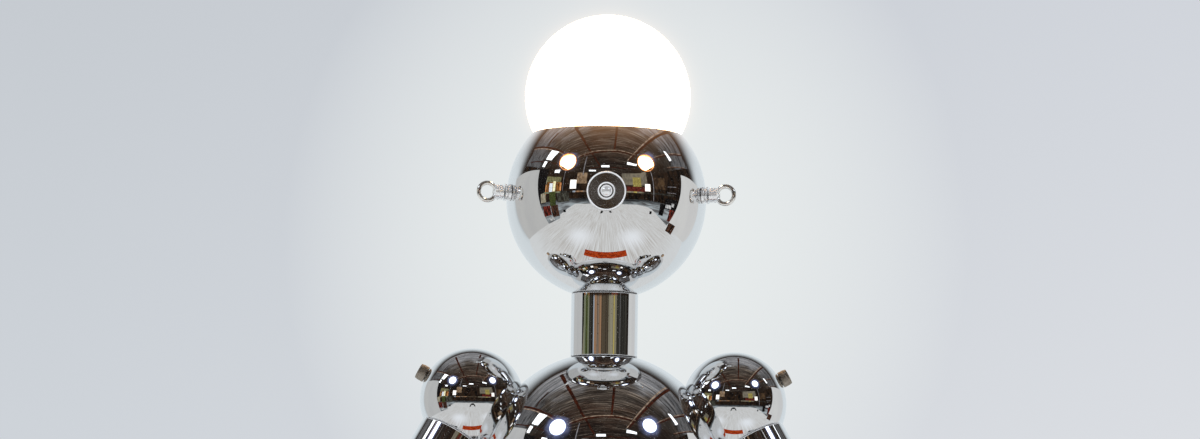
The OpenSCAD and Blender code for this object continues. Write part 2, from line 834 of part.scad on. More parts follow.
module foot_shell()
    translate([0, 0, -shin_span]) difference() {
        hollow_ball(foot_r);
        translate([-foot_d, -foot_d, -foot_d]) cube([2 * foot_d, 2 * foot_d, foot_d]);
        cylinder(r = thread_r, h = foot_r + through);
    }

// Felt-faced sole, with a spigot that sits inside the dome's rim
module foot_sole() {
    spigot_h = 4;
    translate([0, 0, -shin_span]) {
        translate([0, 0, -sole_t]) cylinder(r = foot_r - 0.4, h = sole_t);
        intersection() {
            cylinder(r = foot_r - shell_wall, h = spigot_h);
            sphere(r = foot_r - shell_wall - seat_gap);
        }
    }
}

module arm_part(side, name) {
    color("silver") {
        if (name == "shoulder_ball") at_shoulder(side) root_ball(torso_r);
        if (name == "upper_arm_tube") at_shoulder(side) limb_tube(upper_arm_len);
        if (name == "elbow_ball") at_elbow(side) knuckle_ball(1);
        if (name == "forearm_tube") at_elbow(side) limb_tube(forearm_len);
        if (name == "wrist_plug") at_elbow(side) wrist_plug();
        if (name == "hand_clip") at_elbow(side) hand_clip();
    }
    color("gray") {
        if (name == "upper_arm_tie") at_shoulder(side) eye_tie(upper_arm_span);
        if (name == "forearm_tie") at_elbow(side) forearm_tie();
    }
    color("peru")
        if (name == "elbow_pin") at_elbow(side) knuckle_pin();
}

module leg_part(side, name) {
    color("silver") {
        if (name == "hip_ball") at_hip(side) root_ball(pelvis_r);
        if (name == "thigh_tube") at_hip(side) limb_tube(thigh_len);
        if (name == "knee_ball") at_knee(side) knuckle_ball(-1);
        if (name == "shin_tube") at_knee(side) limb_tube(shin_len);
        if (name == "foot_shell") at_knee(side) foot_shell();
    }
    color("gray") {
        if (name == "thigh_tie") at_hip(side) eye_tie(thigh_span);
        if (name == "shin_tie") at_knee(side) shin_tie();
    }
    color("peru")
        if (name == "knee_pin") at_knee(side) knuckle_pin();
    color("dimgray")
        if (name == "foot_sole") at_knee(side) foot_sole();
}

// ---------------------------------------------------------------- nodes

torso_shell();
pelvis_shell();
neck_tube();
waist_tube();
lamp_pipe();
centring_rings();
pipe_fixings();
weld_nuts();
pivot_studs();
thumb_nuts();
cord_bushing();
lampholder_cap();
lampholder_shell();
lampholder_core();
bulb_cap();
bulb_globe();
head_shell();
ear_loops();
ear_fixings();
switch_housing();
switch_nut();
switch_shaft();
nose_knob();
nose_screw();
for (name = ["shoulder_ball", "upper_arm_tube", "upper_arm_tie", "elbow_ball", "elbow_pin",
             "forearm_tube", "forearm_tie", "wrist_plug", "hand_clip"]) {
    arm_part(LEFT, name);
    arm_part(RIGHT, name);
}
for (name = ["hip_ball", "thigh_tube", "thigh_tie", "knee_ball", "knee_pin", "shin_tube",
             "shin_tie", "foot_shell", "foot_sole"]) {
    leg_part(LEFT, name);
    leg_part(RIGHT, name);
}
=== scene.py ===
"""Looks of the robot shaped lamp: finishes, finer pieces, the studio that its metal mirrors, and the camera.

Metres, +Z up, the robot faces -Y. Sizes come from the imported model, or from the driving dimensions named below.
"""
import json
from math import atan, atan2, cos, pi, radians, sin, tan

import bmesh
import bpy
import numpy as np
from mathutils import Matrix, Vector


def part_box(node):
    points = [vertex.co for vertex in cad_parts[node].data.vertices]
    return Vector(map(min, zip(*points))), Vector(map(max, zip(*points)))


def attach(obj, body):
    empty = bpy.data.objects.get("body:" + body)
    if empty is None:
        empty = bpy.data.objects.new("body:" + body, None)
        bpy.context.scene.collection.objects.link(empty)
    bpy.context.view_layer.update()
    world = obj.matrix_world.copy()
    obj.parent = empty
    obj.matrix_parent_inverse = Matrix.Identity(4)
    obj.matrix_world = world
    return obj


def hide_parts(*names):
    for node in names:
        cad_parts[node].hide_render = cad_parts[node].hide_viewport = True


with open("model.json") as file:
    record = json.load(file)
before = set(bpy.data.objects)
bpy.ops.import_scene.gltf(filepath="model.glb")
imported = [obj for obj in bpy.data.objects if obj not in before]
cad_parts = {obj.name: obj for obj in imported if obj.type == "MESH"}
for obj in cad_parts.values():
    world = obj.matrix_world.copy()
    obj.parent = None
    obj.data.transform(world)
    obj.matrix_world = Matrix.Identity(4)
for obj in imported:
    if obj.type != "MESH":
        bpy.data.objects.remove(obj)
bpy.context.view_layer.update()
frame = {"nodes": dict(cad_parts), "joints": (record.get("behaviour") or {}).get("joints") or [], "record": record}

MM = 0.001
SIDES = (("l", 1), ("r", -1))
JOINTS = {joint["name"]: joint for joint in frame["joints"]}
SLOT_OF = {part["node"]: part["material_slot"] for part in frame["record"]["subparts"]}
BODY_OF = {node: body for body, nodes in frame["record"]["behaviour"]["bodies"].items() for node in nodes}

# The head and what is on it
HEAD_R = (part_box("head_shell")[1].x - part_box("head_shell")[0].x) / 2
HEAD = Vector((0, 0, JOINTS["head_turn"]["pos_m"][2] + HEAD_R))
HEAD_RIM_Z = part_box("head_shell")[1].z
GLOBE_R = (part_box("bulb_globe")[1].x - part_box("bulb_globe")[0].x) / 2
GLOBE = Vector((0, 0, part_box("bulb_globe")[1].z - GLOBE_R))
EYE_AZIMUTH = radians(23.6)
EYE_ELEVATION = radians(16)
EYE_R = 6.25 * MM
EAR_FORWARD = radians(16.5)
EAR_Z = 1.9 * MM
GLASS_LEVEL = 12.0     # how strongly the lit glass shines
GLASS_COLOUR = (1.0, 0.62, 0.34)

# The camera, and where the photograph has the head's centre
PHOTO_SIZE = (1200, 439)
FOCAL_PX = 4000
HEAD_PX = (606.0, 199.7)
CAMERA_AT = Vector((0, -2.985, 0.377))
CAMERA_ROLL = radians(0.9)

MIRROR = 0.80          # share of the light that the chrome sends back

# ---- node trees


def add(tree, kind, inputs=None, **settings):
    """New node with its settings. inputs gives each input a value, or an output to link to it."""
    node = tree.nodes.new(kind)
    for key, value in settings.items():
        setattr(node, key, value)
    for key, value in (inputs or {}).items():
        if isinstance(value, bpy.types.NodeSocket):
            tree.links.new(value, node.inputs[key])
        else:
            node.inputs[key].default_value = value
    return node


def own_place(tree):
    """Position in the object's own frame, which is the part's frame for its pieces."""
    return add(tree, "ShaderNodeTexCoord").outputs["Object"]


def place_of(tree, scale=(1, 1, 1)):
    """Position in the object's own frame, stretched by scale."""
    return add(tree, "ShaderNodeMapping", {"Vector": own_place(tree), "Scale": scale}).outputs["Vector"]


def split(tree, where):
    """The X, Y and Z of a vector."""
    return add(tree, "ShaderNodeSeparateXYZ", {0: where}).outputs


def vector(tree, operation, a, b=None, output="Vector"):
    inputs = {0: a} if b is None else {0: a, 1: b}
    return add(tree, "ShaderNodeVectorMath", inputs, operation=operation).outputs[output]


def length(tree, a):
    return vector(tree, "LENGTH", a, output="Value")


def noise(tree, where, scale, detail=3.0, rough=0.5, distort=0.0):
    return add(tree, "ShaderNodeTexNoise", {
        "Vector": where, "Scale": scale, "Detail": detail, "Roughness": rough, "Distortion": distort,
    }).outputs["Fac"]


def fit(tree, value, low, high, to_low=0.0, to_high=1.0, smooth=True):
    """value taken from low..high to to_low..to_high, and held beyond them."""
    kind = "SMOOTHSTEP" if smooth else "LINEAR"
    return add(tree, "ShaderNodeMapRange", {
        "Value": value, "From Min": low, "From Max": high, "To Min": to_low, "To Max": to_high,
    }, interpolation_type=kind).outputs["Result"]


def sums(tree, operation, a, b=0.0):
    """Result of a maths node."""
    return add(tree, "ShaderNodeMath", {0: a, 1: b}, operation=operation).outputs["Value"]


def times(tree, a, b):
    return sums(tree, "MULTIPLY", a, b)


def uneven(tree, where, scale, low, high, detail=3.0):
    """Noise that goes from low to high."""
    return fit(tree, noise(tree, where, scale, detail), 0.3, 0.7, low, high)


def blend(tree, factor, a, b):
    node = add(tree, "ShaderNodeMix", data_type="RGBA")
    for name, value in (("Factor_Float", factor), ("A_Color", a), ("B_Color", b)):
        socket = next(s for s in node.inputs if s.identifier == name)
        if isinstance(value, bpy.types.NodeSocket):
            tree.links.new(value, socket)
        else:
            socket.default_value = value
    return next(s for s in node.outputs if s.identifier == "Result_Color")


def bump(tree, height, depth, strength=1.0, normal=None):
    inputs = {"Height": height, "Distance": depth, "Strength": strength}
    if normal is not None:
        inputs["Normal"] = normal
    return add(tree, "ShaderNodeBump", inputs).outputs["Normal"]


def rgb(r, g, b):
    return (r, g, b, 1.0)


def srgb(r, g, b, through=1.0):
    """Linear colour of an 8-bit display colour, before a mirror that reflects the share through of it."""
    def linear(v):
        v /= 255
        return v / 12.92 if v <= 0.04045 else ((v + 0.055) / 1.055) ** 2.4
    return rgb(*(linear(v) / through for v in (r, g, b)))


def material(name, **values):
    """New material. values set the shader's own sockets, such as metallic=1 or coat_weight=0.5."""
    made = bpy.data.materials.new(name)
    made.use_nodes = True
    shader = made.node_tree.nodes["Principled BSDF"]
    for key, value in values.items():
        shader.inputs[socket_name(key)].default_value = value
    return made, made.node_tree, shader


def socket_name(key):
    """The shader's name for a key such as coat_weight."""
    return key.replace("_", " ").title()


def drive(tree, shader, **outputs):
    """Links outputs to the shader's sockets, named by keys such as base_color."""
    for key, value in outputs.items():
        tree.links.new(value, shader.inputs[socket_name(key)])


# ---- finishes


def handled_metal(name, clean, dull, colour, dark, grain=1.0, **values):
    """Polished metal: faint wipe marks, specks of dust and a little unevenness, scaled by grain. clean and dull are
    its roughness, colour and dark its tints."""
    made, tree, shader = material(name, **{"metallic": 1.0, **values})
    where = place_of(tree)
    wipes = noise(tree, place_of(tree, (1, 1, 0.35)), 26 * grain, 5, 0.62, 1.4)
    haze = noise(tree, where, 9 * grain, 2)
    specks = fit(tree, noise(tree, where, 760, 2), 0.70, 0.78)
    film = times(tree, fit(tree, wipes, 0.48, 0.74), fit(tree, haze, 0.42, 0.66))
    film = sums(tree, "MAXIMUM", film, specks)
    tint = blend(tree, fit(tree, noise(tree, where, 14, 3), 0.35, 0.7), rgb(*colour), rgb(*dark))
    drive(tree, shader, roughness=fit(tree, film, 0, 1, clean, dull, smooth=False),
          base_color=blend(tree, times(tree, specks, 0.35), tint, rgb(0.42, 0.41, 0.40)),
          normal=bump(tree, specks, 0.00002, 0.4, bump(tree, haze, 0.00006)))
    return made, tree, shader


# Metals that have only the marks of handling: roughness clean and dull, two tints, grain, and the shader's own values
METALS = {
    "chrome": (0.012, 0.045, (0.79, 0.805, 0.825), (0.765, 0.775, 0.79), 1.0,
               {"coat_weight": 0.12, "coat_roughness": 0.30}),
    "nickel": (0.05, 0.16, (0.74, 0.72, 0.68), (0.66, 0.64, 0.60), 2.0, {}),
    "brass": (0.16, 0.36, (0.70, 0.48, 0.19), (0.50, 0.31, 0.11), 3.0, {}),
    "cap_alloy": (0.20, 0.38, (0.70, 0.70, 0.68), (0.55, 0.54, 0.52), 3.0, {}),
    # rubbed dull, on the narrow edges that fingers and screwdrivers meet
    "rim_chrome": (0.34, 0.42, (1.0, 1.0, 1.0), (0.93, 0.93, 0.93), 4.0,
                   {"metallic": 0.3, "coat_weight": 0.3, "coat_roughness": 0.2}),
    # the ear rings, handled smooth
    "ring_nickel": (0.05, 0.11, (0.93, 0.92, 0.89), (0.80, 0.79, 0.77), 5.0,
                    {"metallic": 0.94, "coat_weight": 0.2, "coat_roughness": 0.04}),
    # the rest of the ears, worn satin, which takes the bulb's light on its upper side
    "satin_nickel": (0.14, 0.24, (0.98, 0.98, 0.97), (0.88, 0.89, 0.91), 5.0,
                     {"metallic": 0.62, "coat_weight": 0.3, "coat_roughness": 0.05}),
}


def eye_axis(side):
    """Direction from the head's centre to an eye. side is 1 for the robot's left."""
    return Vector((side * sin(EYE_AZIMUTH) * cos(EYE_ELEVATION), -cos(EYE_AZIMUTH) * cos(EYE_ELEVATION),
                   sin(EYE_ELEVATION)))


def head_chrome():
    """Chrome whose cut edges, at the rim and in the eye holes, show the spun brass under the plating, with a painted
    glow of the bulb's light round the eye holes and near the rim.
    """
    made, tree, shader = handled_metal("head_chrome", 0.012, 0.045, (0.80, 0.805, 0.815), (0.775, 0.78, 0.785),
                                       coat_weight=0.10, coat_roughness=0.36, emission_color=rgb(1.0, 0.36, 0.10))
    where = own_place(tree)
    from_head = vector(tree, "ADD", where, -HEAD)
    height = split(tree, where)["Z"]
    cut = sums(tree, "GREATER_THAN", height, HEAD_RIM_Z - 0.05 * MM)
    front = sums(tree, "LESS_THAN", split(tree, where)["Y"], 0.0)
    painted_eye_glow = 0.0
    for side in (1, -1):
        away = length(tree, vector(tree, "CROSS_PRODUCT", from_head, eye_axis(side)))
        hole = sums(tree, "LESS_THAN", away, EYE_R + 0.06 * MM)
        cut = sums(tree, "MAXIMUM", cut, times(tree, front, hole))
        # painted glow on the edge of each eye hole, standing in for the bulb's light from inside the head; brightest on
        # the side by the nose
        inward = Vector((-0.8 * side, 0, -0.6))
        across = vector(tree, "DOT_PRODUCT", from_head, inward, "Value")
        middle = eye_axis(side).dot(inward) * HEAD_R
        by_nose = fit(tree, across, middle - 0.4 * EYE_R, middle + 0.7 * EYE_R, 0.45, 1.7)
        ring = times(tree, front, fit(tree, away, EYE_R + 0.25 * MM, EYE_R + 0.95 * MM, 1.0, 0.0))
        painted_eye_glow = sums(tree, "MAXIMUM", times(tree, ring, by_nose), painted_eye_glow)
    plated, rough = (shader.inputs[name].links[0].from_socket for name in ("Base Color", "Roughness"))
    brass_cut = blend(tree, noise(tree, where, 300), rgb(0.72, 0.42, 0.15), rgb(0.52, 0.27, 0.09))
    # painted glow near the rim, standing in for the bulb's light on the film of dust there
    near = fit(tree, height, HEAD_RIM_Z - 30 * MM, HEAD_RIM_Z, smooth=False)
    film = times(tree, times(tree, near, near), uneven(tree, where, 60, 0.75, 1.25))
    drive(tree, shader, base_color=blend(tree, cut, plated, brass_cut),
          roughness=sums(tree, "MAXIMUM", rough, times(tree, cut, 0.3)),
          emission_strength=sums(tree, "ADD", times(tree, film, 0.07), times(tree, painted_eye_glow, 0.9)))
    return made


def turned_chrome():
    """Chrome of the nose's face, turned in fine rings before it was plated."""
    made, tree, shader = handled_metal("turned_chrome", 0.20, 0.26, (0.88, 0.87, 0.86), (0.80, 0.79, 0.78), 3.0,
                                       coat_weight=0.15, coat_roughness=0.3, anisotropic=0.85)
    middle = (0, 0, -JOINTS["nose_switch"]["pos_m"][2])
    flat = vector(tree, "MULTIPLY", vector(tree, "ADD", own_place(tree), middle), (1, 0, 1))
    rings = add(tree, "ShaderNodeTexNoise", {"W": length(tree, flat), "Scale": 3200.0, "Detail": 3.0},
                noise_dimensions="1D").outputs["Fac"]
    before = shader.inputs["Normal"].links[0].from_socket
    drive(tree, shader, tangent=add(tree, "ShaderNodeTangent", direction_type="RADIAL", axis="Y").outputs["Tangent"],
          normal=bump(tree, rings, 0.000012, 1.0, before))
    return made


def aged_nickel():
    """Worn plating gone brown, with fine turning marks, a few darker spots and a painted glow of the bulb's light on
    its upper side.
    """
    made, tree, shader = material("aged_nickel", metallic=1.0, emission_color=rgb(1.0, 0.58, 0.28))
    where = place_of(tree)
    patches = fit(tree, noise(tree, where, 70, 4, 0.6), 0.34, 0.70)
    colour = blend(tree, patches, rgb(0.40, 0.36, 0.31), rgb(0.30, 0.26, 0.21))
    stain = fit(tree, noise(tree, where, 420, 3), 0.66, 0.76, 0.0, 0.3)
    # painted glow on the upper side of the nuts that are near the bulb, standing in for its light
    from_bulb = vector(tree, "ADD", where, -GLOBE)
    normal = add(tree, "ShaderNodeNewGeometry").outputs["Normal"]
    facing = vector(tree, "DOT_PRODUCT", normal, vector(tree, "NORMALIZE", from_bulb), "Value")
    painted_bulb_glow = times(tree, fit(tree, facing, -0.62, -0.86), fit(tree, length(tree, from_bulb), 0.20, 0.32, 0.42, 0.0))
    drive(tree, shader, base_color=blend(tree, stain, colour, rgb(0.10, 0.08, 0.06)), emission_strength=painted_bulb_glow,
          roughness=fit(tree, patches, 0, 1, 0.46, 0.55), normal=bump(tree, noise(tree, where, 1500, 4), 0.00001))
    return made


def zinc_steel():
    made, tree, shader = material("zinc_steel", metallic=1.0)
    where = place_of(tree)
    spangle = add(tree, "ShaderNodeTexVoronoi", {"Vector": where, "Scale": 620.0}).outputs["Color"]
    grey = add(tree, "ShaderNodeRGBToBW", {"Color": spangle}).outputs["Val"]
    drive(tree, shader, base_color=blend(tree, grey, rgb(0.44, 0.46, 0.49), rgb(0.56, 0.56, 0.52)),
          roughness=uneven(tree, where, 480, 0.22, 0.42), normal=bump(tree, noise(tree, where, 1300), 0.00003))
    return made


def porcelain():
    made, tree, shader = material("porcelain", coat_weight=0.6, coat_roughness=0.12)
    where = place_of(tree)
    drive(tree, shader, roughness=uneven(tree, where, 300, 0.3, 0.5),
          base_color=blend(tree, noise(tree, where, 90, 4), rgb(0.86, 0.84, 0.79), rgb(0.76, 0.73, 0.66)),
          normal=bump(tree, noise(tree, where, 700), 0.00003))
    return made


def opal_glass():
    """Lit milk glass: over-bright all round, warmer and weaker in the neck."""
    made, tree, shader = material("opal_glass", coat_weight=0.5, coat_roughness=0.03)
    where = own_place(tree)
    height = split(tree, where)["Z"]
    warm = fit(tree, height, GLOBE.z - GLOBE_R * 1.3, GLOBE.z - GLOBE_R * 0.7)
    colour = blend(tree, warm, rgb(1.0, 0.50, 0.22), rgb(*GLASS_COLOUR))
    level = times(tree, fit(tree, warm, 0, 1, 5.0, GLASS_LEVEL), uneven(tree, where, 22, 0.97, 1.03))
    # painted shade: a dimmer, yellower band on the glass just inside the head, as the upper part of each eye shows
    low, high = HEAD_RIM_Z - 20.5 * MM, HEAD_RIM_Z - 11 * MM
    painted_shade_band = times(tree, fit(tree, height, low, low + 2 * MM), fit(tree, height, high, high + 4 * MM, 1.0, 0.0))
    drive(tree, shader, emission_color=blend(tree, painted_shade_band, colour, rgb(1.0, 0.48, 0.13)),
          emission_strength=times(tree, level, fit(tree, painted_shade_band, 0, 1, 1.0, 0.24)),
          base_color=blend(tree, noise(tree, where, 22), rgb(0.88, 0.87, 0.84), rgb(0.82, 0.80, 0.76)),
          roughness=uneven(tree, where, 60, 0.16, 0.26))
    return made


def black_plastic():
    made, tree, shader = material("black_plastic")
    where = place_of(tree)
    drive(tree, shader, roughness=uneven(tree, where, 420, 0.32, 0.52),
          base_color=blend(tree, noise(tree, where, 160, 4), rgb(0.016, 0.015, 0.014), rgb(0.034, 0.031, 0.028)),
          normal=bump(tree, noise(tree, where, 1900, 4), 0.00005))
    return made


def felt():
    """Pressed wool: matted fibres in two directions, with lint."""
    made, tree, shader = material("felt", sheen_weight=0.5, sheen_roughness=0.6)
    fine = noise(tree, place_of(tree, (1, 1, 3)), 2600, 6, 0.7, 2.0)
    matted = noise(tree, place_of(tree), 420, 5, 0.65, 3.0)
    lint = fit(tree, noise(tree, place_of(tree), 1300), 0.66, 0.74, 0.0, 0.4)
    colour = blend(tree, matted, rgb(0.028, 0.028, 0.027), rgb(0.075, 0.072, 0.068))
    drive(tree, shader, base_color=blend(tree, lint, colour, rgb(0.30, 0.29, 0.27)),
          roughness=fit(tree, fine, 0.3, 0.7, 0.86, 1.0),
          normal=bump(tree, matted, 0.0004, 1.0, bump(tree, fine, 0.0002)))
    return made


FINISHES = {name: handled_metal(name, *marks, **values)[0] for name, (*marks, values) in METALS.items()}
FINISHES |= {make.__name__: make() for make in (
    head_chrome, turned_chrome, aged_nickel, zinc_steel, porcelain, opal_glass, black_plastic, felt)}


def dress_nodes():
    """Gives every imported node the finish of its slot."""
    for name, node in frame["nodes"].items():
        for slot in node.material_slots:
            slot.material = FINISHES["head_chrome" if name == "head_shell" else SLOT_OF[name]]


# ---- turned pieces


def rounded(corners, steps=5):
    """Outline through corners (x, y, radius), each rounded by an arc of its radius."""
    points = []
    for i, (x, y, radius) in enumerate(corners):
        here = Vector((x, y))
        if radius == 0:
            points.append(here)
            continue
        before = (Vector(corners[i - 1][:2]) - here).normalized()
        after = (Vector(corners[(i + 1) % len(corners)][:2]) - here).normalized()
        half = before.angle(after) / 2
        middle = here + (before + after).normalized() * radius / sin(half)
        start = here + before * radius / tan(half) - middle
        end = here + after * radius / tan(half) - middle
        sweep = atan2(start.x * end.y - start.y * end.x, start.dot(end))
        first = atan2(start.y, start.x)
        for k in range(steps + 1):
            angle = first + sweep * k / steps
            points.append(middle + radius * Vector((cos(angle), sin(angle))))
    return [tuple(p) for p in points]


def arc(centre, radius, start, end, steps):
    """Points of an arc, its angles in degrees."""
    angles = [radians(start + (end - start) * k / steps) for k in range(steps + 1)]
    return [(centre[0] + radius * cos(a), centre[1] + radius * sin(a)) for a in angles]


def revolve(outline, steps=128, closed=False, limit=None):
    """Vertices and faces of an outline (radius, height) turned round Z. limit(angle, height) caps the radius."""
    vertices, rings = [], []
    for radius, height in outline:
        if radius < 1e-7:
            rings.append([len(vertices)] * steps)
            vertices.append((0, 0, height))
            continue
        rings.append(range(len(vertices), len(vertices) + steps))
        for i in range(steps):
            angle = 2 * pi * i / steps
            reach = radius if limit is None else min(radius, limit(angle, height))
            vertices.append((reach * cos(angle), reach * sin(angle), height))
    if closed:
        rings.append(rings[0])
    faces = []
    for low, high in zip(rings, rings[1:]):
        for i in range(steps):
            j = (i + 1) % steps
            face = list(dict.fromkeys((low[i], low[j], high[j], high[i])))
            if len(face) > 2:
                faces.append(face)
    return vertices, faces


def pointing(axis, origin=(0, 0, 0), up="Y"):
    """Frame at origin whose Z runs along axis."""
    return Matrix.Translation(origin) @ Vector(axis).to_track_quat("Z", up).to_matrix().to_4x4()


def mesh_of(name, points, faces):
    mesh = bpy.data.meshes.new(name)
    mesh.from_pydata(points, [], faces)
    return mesh


def placed(name, data):
    """New object in the scene."""
    obj = bpy.data.objects.new(name, data)
    bpy.context.scene.collection.objects.link(obj)
    return obj


def shape(parts):
    """One mesh from several (vertices, faces), or (vertices, faces, frame), with faces outward."""
    vertices, faces = [], []
    for part in parts:
        place = part[2] if len(part) > 2 else Matrix.Identity(4)
        start = len(vertices)
        vertices += [tuple(place @ Vector(v)) for v in part[0]]
        faces += [[start + k for k in face] for face in part[1]]
    mesh = mesh_of("piece", vertices, faces)
    work = bmesh.new()
    work.from_mesh(mesh)
    bmesh.ops.recalc_face_normals(work, faces=work.faces)
    work.to_mesh(mesh)
    work.free()
    return mesh


def piece(name, mesh, node, sharp=40):
    """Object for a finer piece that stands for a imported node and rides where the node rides."""
    obj = placed(name, mesh)
    mesh.shade_smooth()
    mesh.set_sharp_from_angle(angle=radians(sharp))
    normals = obj.modifiers.new("normals", "WEIGHTED_NORMAL")
    normals.keep_sharp = True
    normals.weight = 100
    mesh.materials.append(FINISHES[SLOT_OF[node]])
    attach(obj, BODY_OF[node])
    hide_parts(node)
    return obj


def refinish(obj, finish, chosen):
    """Gives the faces whose centre chosen() picks another finish."""
    obj.data.materials.append(FINISHES[finish])
    for face in obj.data.polygons:
        if chosen(face.center):
            face.material_index = len(obj.data.materials) - 1


def points_of(node):
    flat = np.zeros(len(frame["nodes"][node].data.vertices) * 3, np.float32)
    frame["nodes"][node].data.vertices.foreach_get("co", flat)
    return flat.reshape(-1, 3).astype(float)


def measure(node, origin, axis, within=1.0):
    """Lowest and highest reach along an axis, and largest and smallest distance from it, of what a node has within
    a distance of the axis and ahead of the origin, or of the whole node."""
    away = points_of(node) - np.array(origin)
    along = away @ np.array(axis)
    off = np.linalg.norm(away - np.outer(along, np.array(axis)), axis=1)
    if within < 1:
        near = (off < within) & (along > 0)
        along, off = along[near], off[near]
    return along.min(), along.max(), off.max(), off.min()


def tube(node, origin, axis):
    """Polished tube with its four edges broken."""
    low, high, outer, inner = measure(node, origin, axis)
    edge = 0.55 * MM
    outline = rounded([(outer, low, edge), (outer, high, edge), (inner, high, edge), (inner, low, edge)])
    turned = revolve(outline, 192, closed=True)
    made = piece(node + "_polished", shape([(*turned, pointing(axis, origin))]), node)
    along, start = Vector(axis).normalized(), Vector(origin)
    refinish(made, "rim_chrome", lambda at: not low + edge * 0.9 < (at - start).dot(along) < high - edge * 0.9)


def make_tubes():
    for node in ("neck_tube", "waist_tube"):
        tube(node, (0, 0, 0), (0, 0, 1))
    for side, _ in SIDES:
        for name, start, end in (("upper_arm", "shoulder", "elbow"), ("forearm", "elbow", "wrist"),
                                 ("thigh", "hip", None), ("shin", "knee", None)):
            origin = Vector(JOINTS[f"{start}_{side}"]["pos_m"])
            axis = (Vector(JOINTS[f"{end}_{side}"]["pos_m"]) - origin).normalized() if end else Vector((0, 0, -1))
            tube(f"{name}_tube_{side}", origin, axis)


# Sizes of the small fixings, as part.scad has them
ROD_R = 3 * MM
NUT_R = 6.1 * MM
NUT_H = 7 * MM
NUT_SEAT = 0.35 * MM
KNURLS = 60
KNURL_DEPTH = 0.11 * MM


def thumb_nut():
    """Nut on a narrow seat, with a fine straight knurl and a plain end. Its inner face is at height 0."""
    step = NUT_H * 0.74
    end_r = NUT_R - 0.25 * MM
    outline = rounded([
        (ROD_R, 0, 0), (NUT_R * 0.7, 0, 0.1 * MM), (NUT_R * 0.7, NUT_SEAT, 0.1 * MM), (NUT_R, NUT_SEAT, 0.5 * MM),
        (NUT_R, NUT_SEAT + 0.65 * MM, 0), (NUT_R, NUT_SEAT + 0.85 * MM, 0), (NUT_R, step - 0.2 * MM, 0),
        (NUT_R, step, 0), (end_r, step + 0.2 * MM, 0.1 * MM), (end_r, NUT_H, 0.7 * MM), (0, NUT_H, 0)], 5)

    def knurl(angle, height):
        if not NUT_SEAT + 0.7 * MM < height < step - 0.1 * MM:
            return NUT_R
        return NUT_R - KNURL_DEPTH * (0.5 + 0.5 * cos(KNURLS * angle))
    return revolve(outline, KNURLS * 6, limit=knurl)


def make_thumb_nuts():
    parts = []
    for side, sign in SIDES:
        for name in ("shoulder", "hip"):
            joint = JOINTS[f"{name}_{side}"]
            axis = Vector(joint["axis"])
            axis *= sign if axis.x > 0 else -sign
            low = measure("thumb_nuts", joint["pos_m"], axis, NUT_R * 1.2)[0]
            parts.append((*thumb_nut(), pointing(axis, Vector(joint["pos_m"]) + axis * low)))
    piece("thumb_nuts_knurled", shape(parts), "thumb_nuts", 30)


def ear_frame(sign):
    """Frame on the head's surface at an ear, its Z straight out."""
    out = Vector((sign * cos(EAR_FORWARD), -sin(EAR_FORWARD), 0))
    return pointing(out, HEAD + Vector((0, 0, EAR_Z)) + out * HEAD_R, "X")


def hex_nut(radius, bore, height):
    """Nut with its corners turned off, its lower face at height 0."""
    flat = radius * cos(pi / 6)
    outline = [(bore, 0), (radius * 0.9, 0), (radius, height * 0.2), (radius, height * 0.8),
               (radius * 0.9, height), (bore, height)]

    def six(angle, _):
        turn = (angle + pi / 6) % (pi / 3) - pi / 6
        return flat / cos(turn)
    return revolve(outline, 120, closed=True, limit=six)


def make_ears():
    """Ring, barrel and stud of each ear, and the collar and the nut that hold it."""
    loops, fixings = [], []
    wire = 1.7 * MM
    ring = 6.55 * MM
    barrel_r, barrel_low, barrel_high = 5.6 * MM, 4.6 * MM, 12.6 * MM
    stud_r, stud_low = 2.5 * MM, -6 * MM
    foot_r, neck_r, flange_r = 6.4 * MM, 4.8 * MM, 6.5 * MM
    nut_r, nut_h, behind = 4.75 * MM, 3.84 * MM, 12 * MM
    for _, sign in SIDES:
        place = ear_frame(sign)
        barrel = [(0, barrel_low)] + rounded([
            (barrel_r, barrel_low, 0.5 * MM), (barrel_r, barrel_low + 1.5 * MM, 0.1 * MM),
            (barrel_r - 0.25 * MM, barrel_low + 1.7 * MM, 0.1 * MM),
            (barrel_r - 0.25 * MM, barrel_high - 0.6 * MM, 0.1 * MM),
            (barrel_r - 1.6 * MM, barrel_high, 0.7 * MM)], 5) + [(0, barrel_high)]
        loops.append((*revolve(barrel, 96), place))
        stud = [(0, stud_low), (stud_r - 0.4 * MM, stud_low), (stud_r, stud_low + 0.4 * MM),
                (stud_r, barrel_low), (0, barrel_low)]
        loops.append((*revolve(stud, 48), place))
        hoop = revolve(arc((ring, 0), wire, 0, 360, 32)[:-1], 96, closed=True)
        upright = Matrix.Translation((0, 0, barrel_high + ring - wire)) @ Matrix.Rotation(pi / 2, 4, "X")
        loops.append((*hoop, place @ upright))
        collar = rounded([
            (stud_r, -0.02 * MM, 0), (foot_r - 0.1 * MM, -0.02 * MM, 0.15 * MM), (foot_r, 0.6 * MM, 0.3 * MM),
            (foot_r - 0.7 * MM, 2.2 * MM, 0.6 * MM), (neck_r, 2.3 * MM, 0.3 * MM), (neck_r, 3.3 * MM, 0.2 * MM),
            (flange_r, 3.4 * MM, 0.3 * MM), (flange_r, barrel_low, 0.4 * MM), (stud_r, barrel_low, 0)], 5)
        fixings.append((*revolve(collar, 96, closed=True), place))
        inside = measure("ear_fixings", place @ Vector((0, 0, -behind)), place.to_3x3() @ Vector((0, 0, 1)), 0.02)
        fixings.append((*hex_nut(nut_r, stud_r, nut_h), place @ Matrix.Translation((0, 0, inside[0] - behind))))
    rings = piece("ear_loops_polished", shape(loops), "ear_loops")
    collars = piece("ear_fixings_polished", shape(fixings), "ear_fixings")
    for obj in (rings, collars):
        refinish(obj, "satin_nickel", lambda at: (at - HEAD).length > HEAD_R - 0.6 * MM)
    refinish(rings, "ring_nickel", lambda at: (at - HEAD).length > HEAD_R + barrel_high)


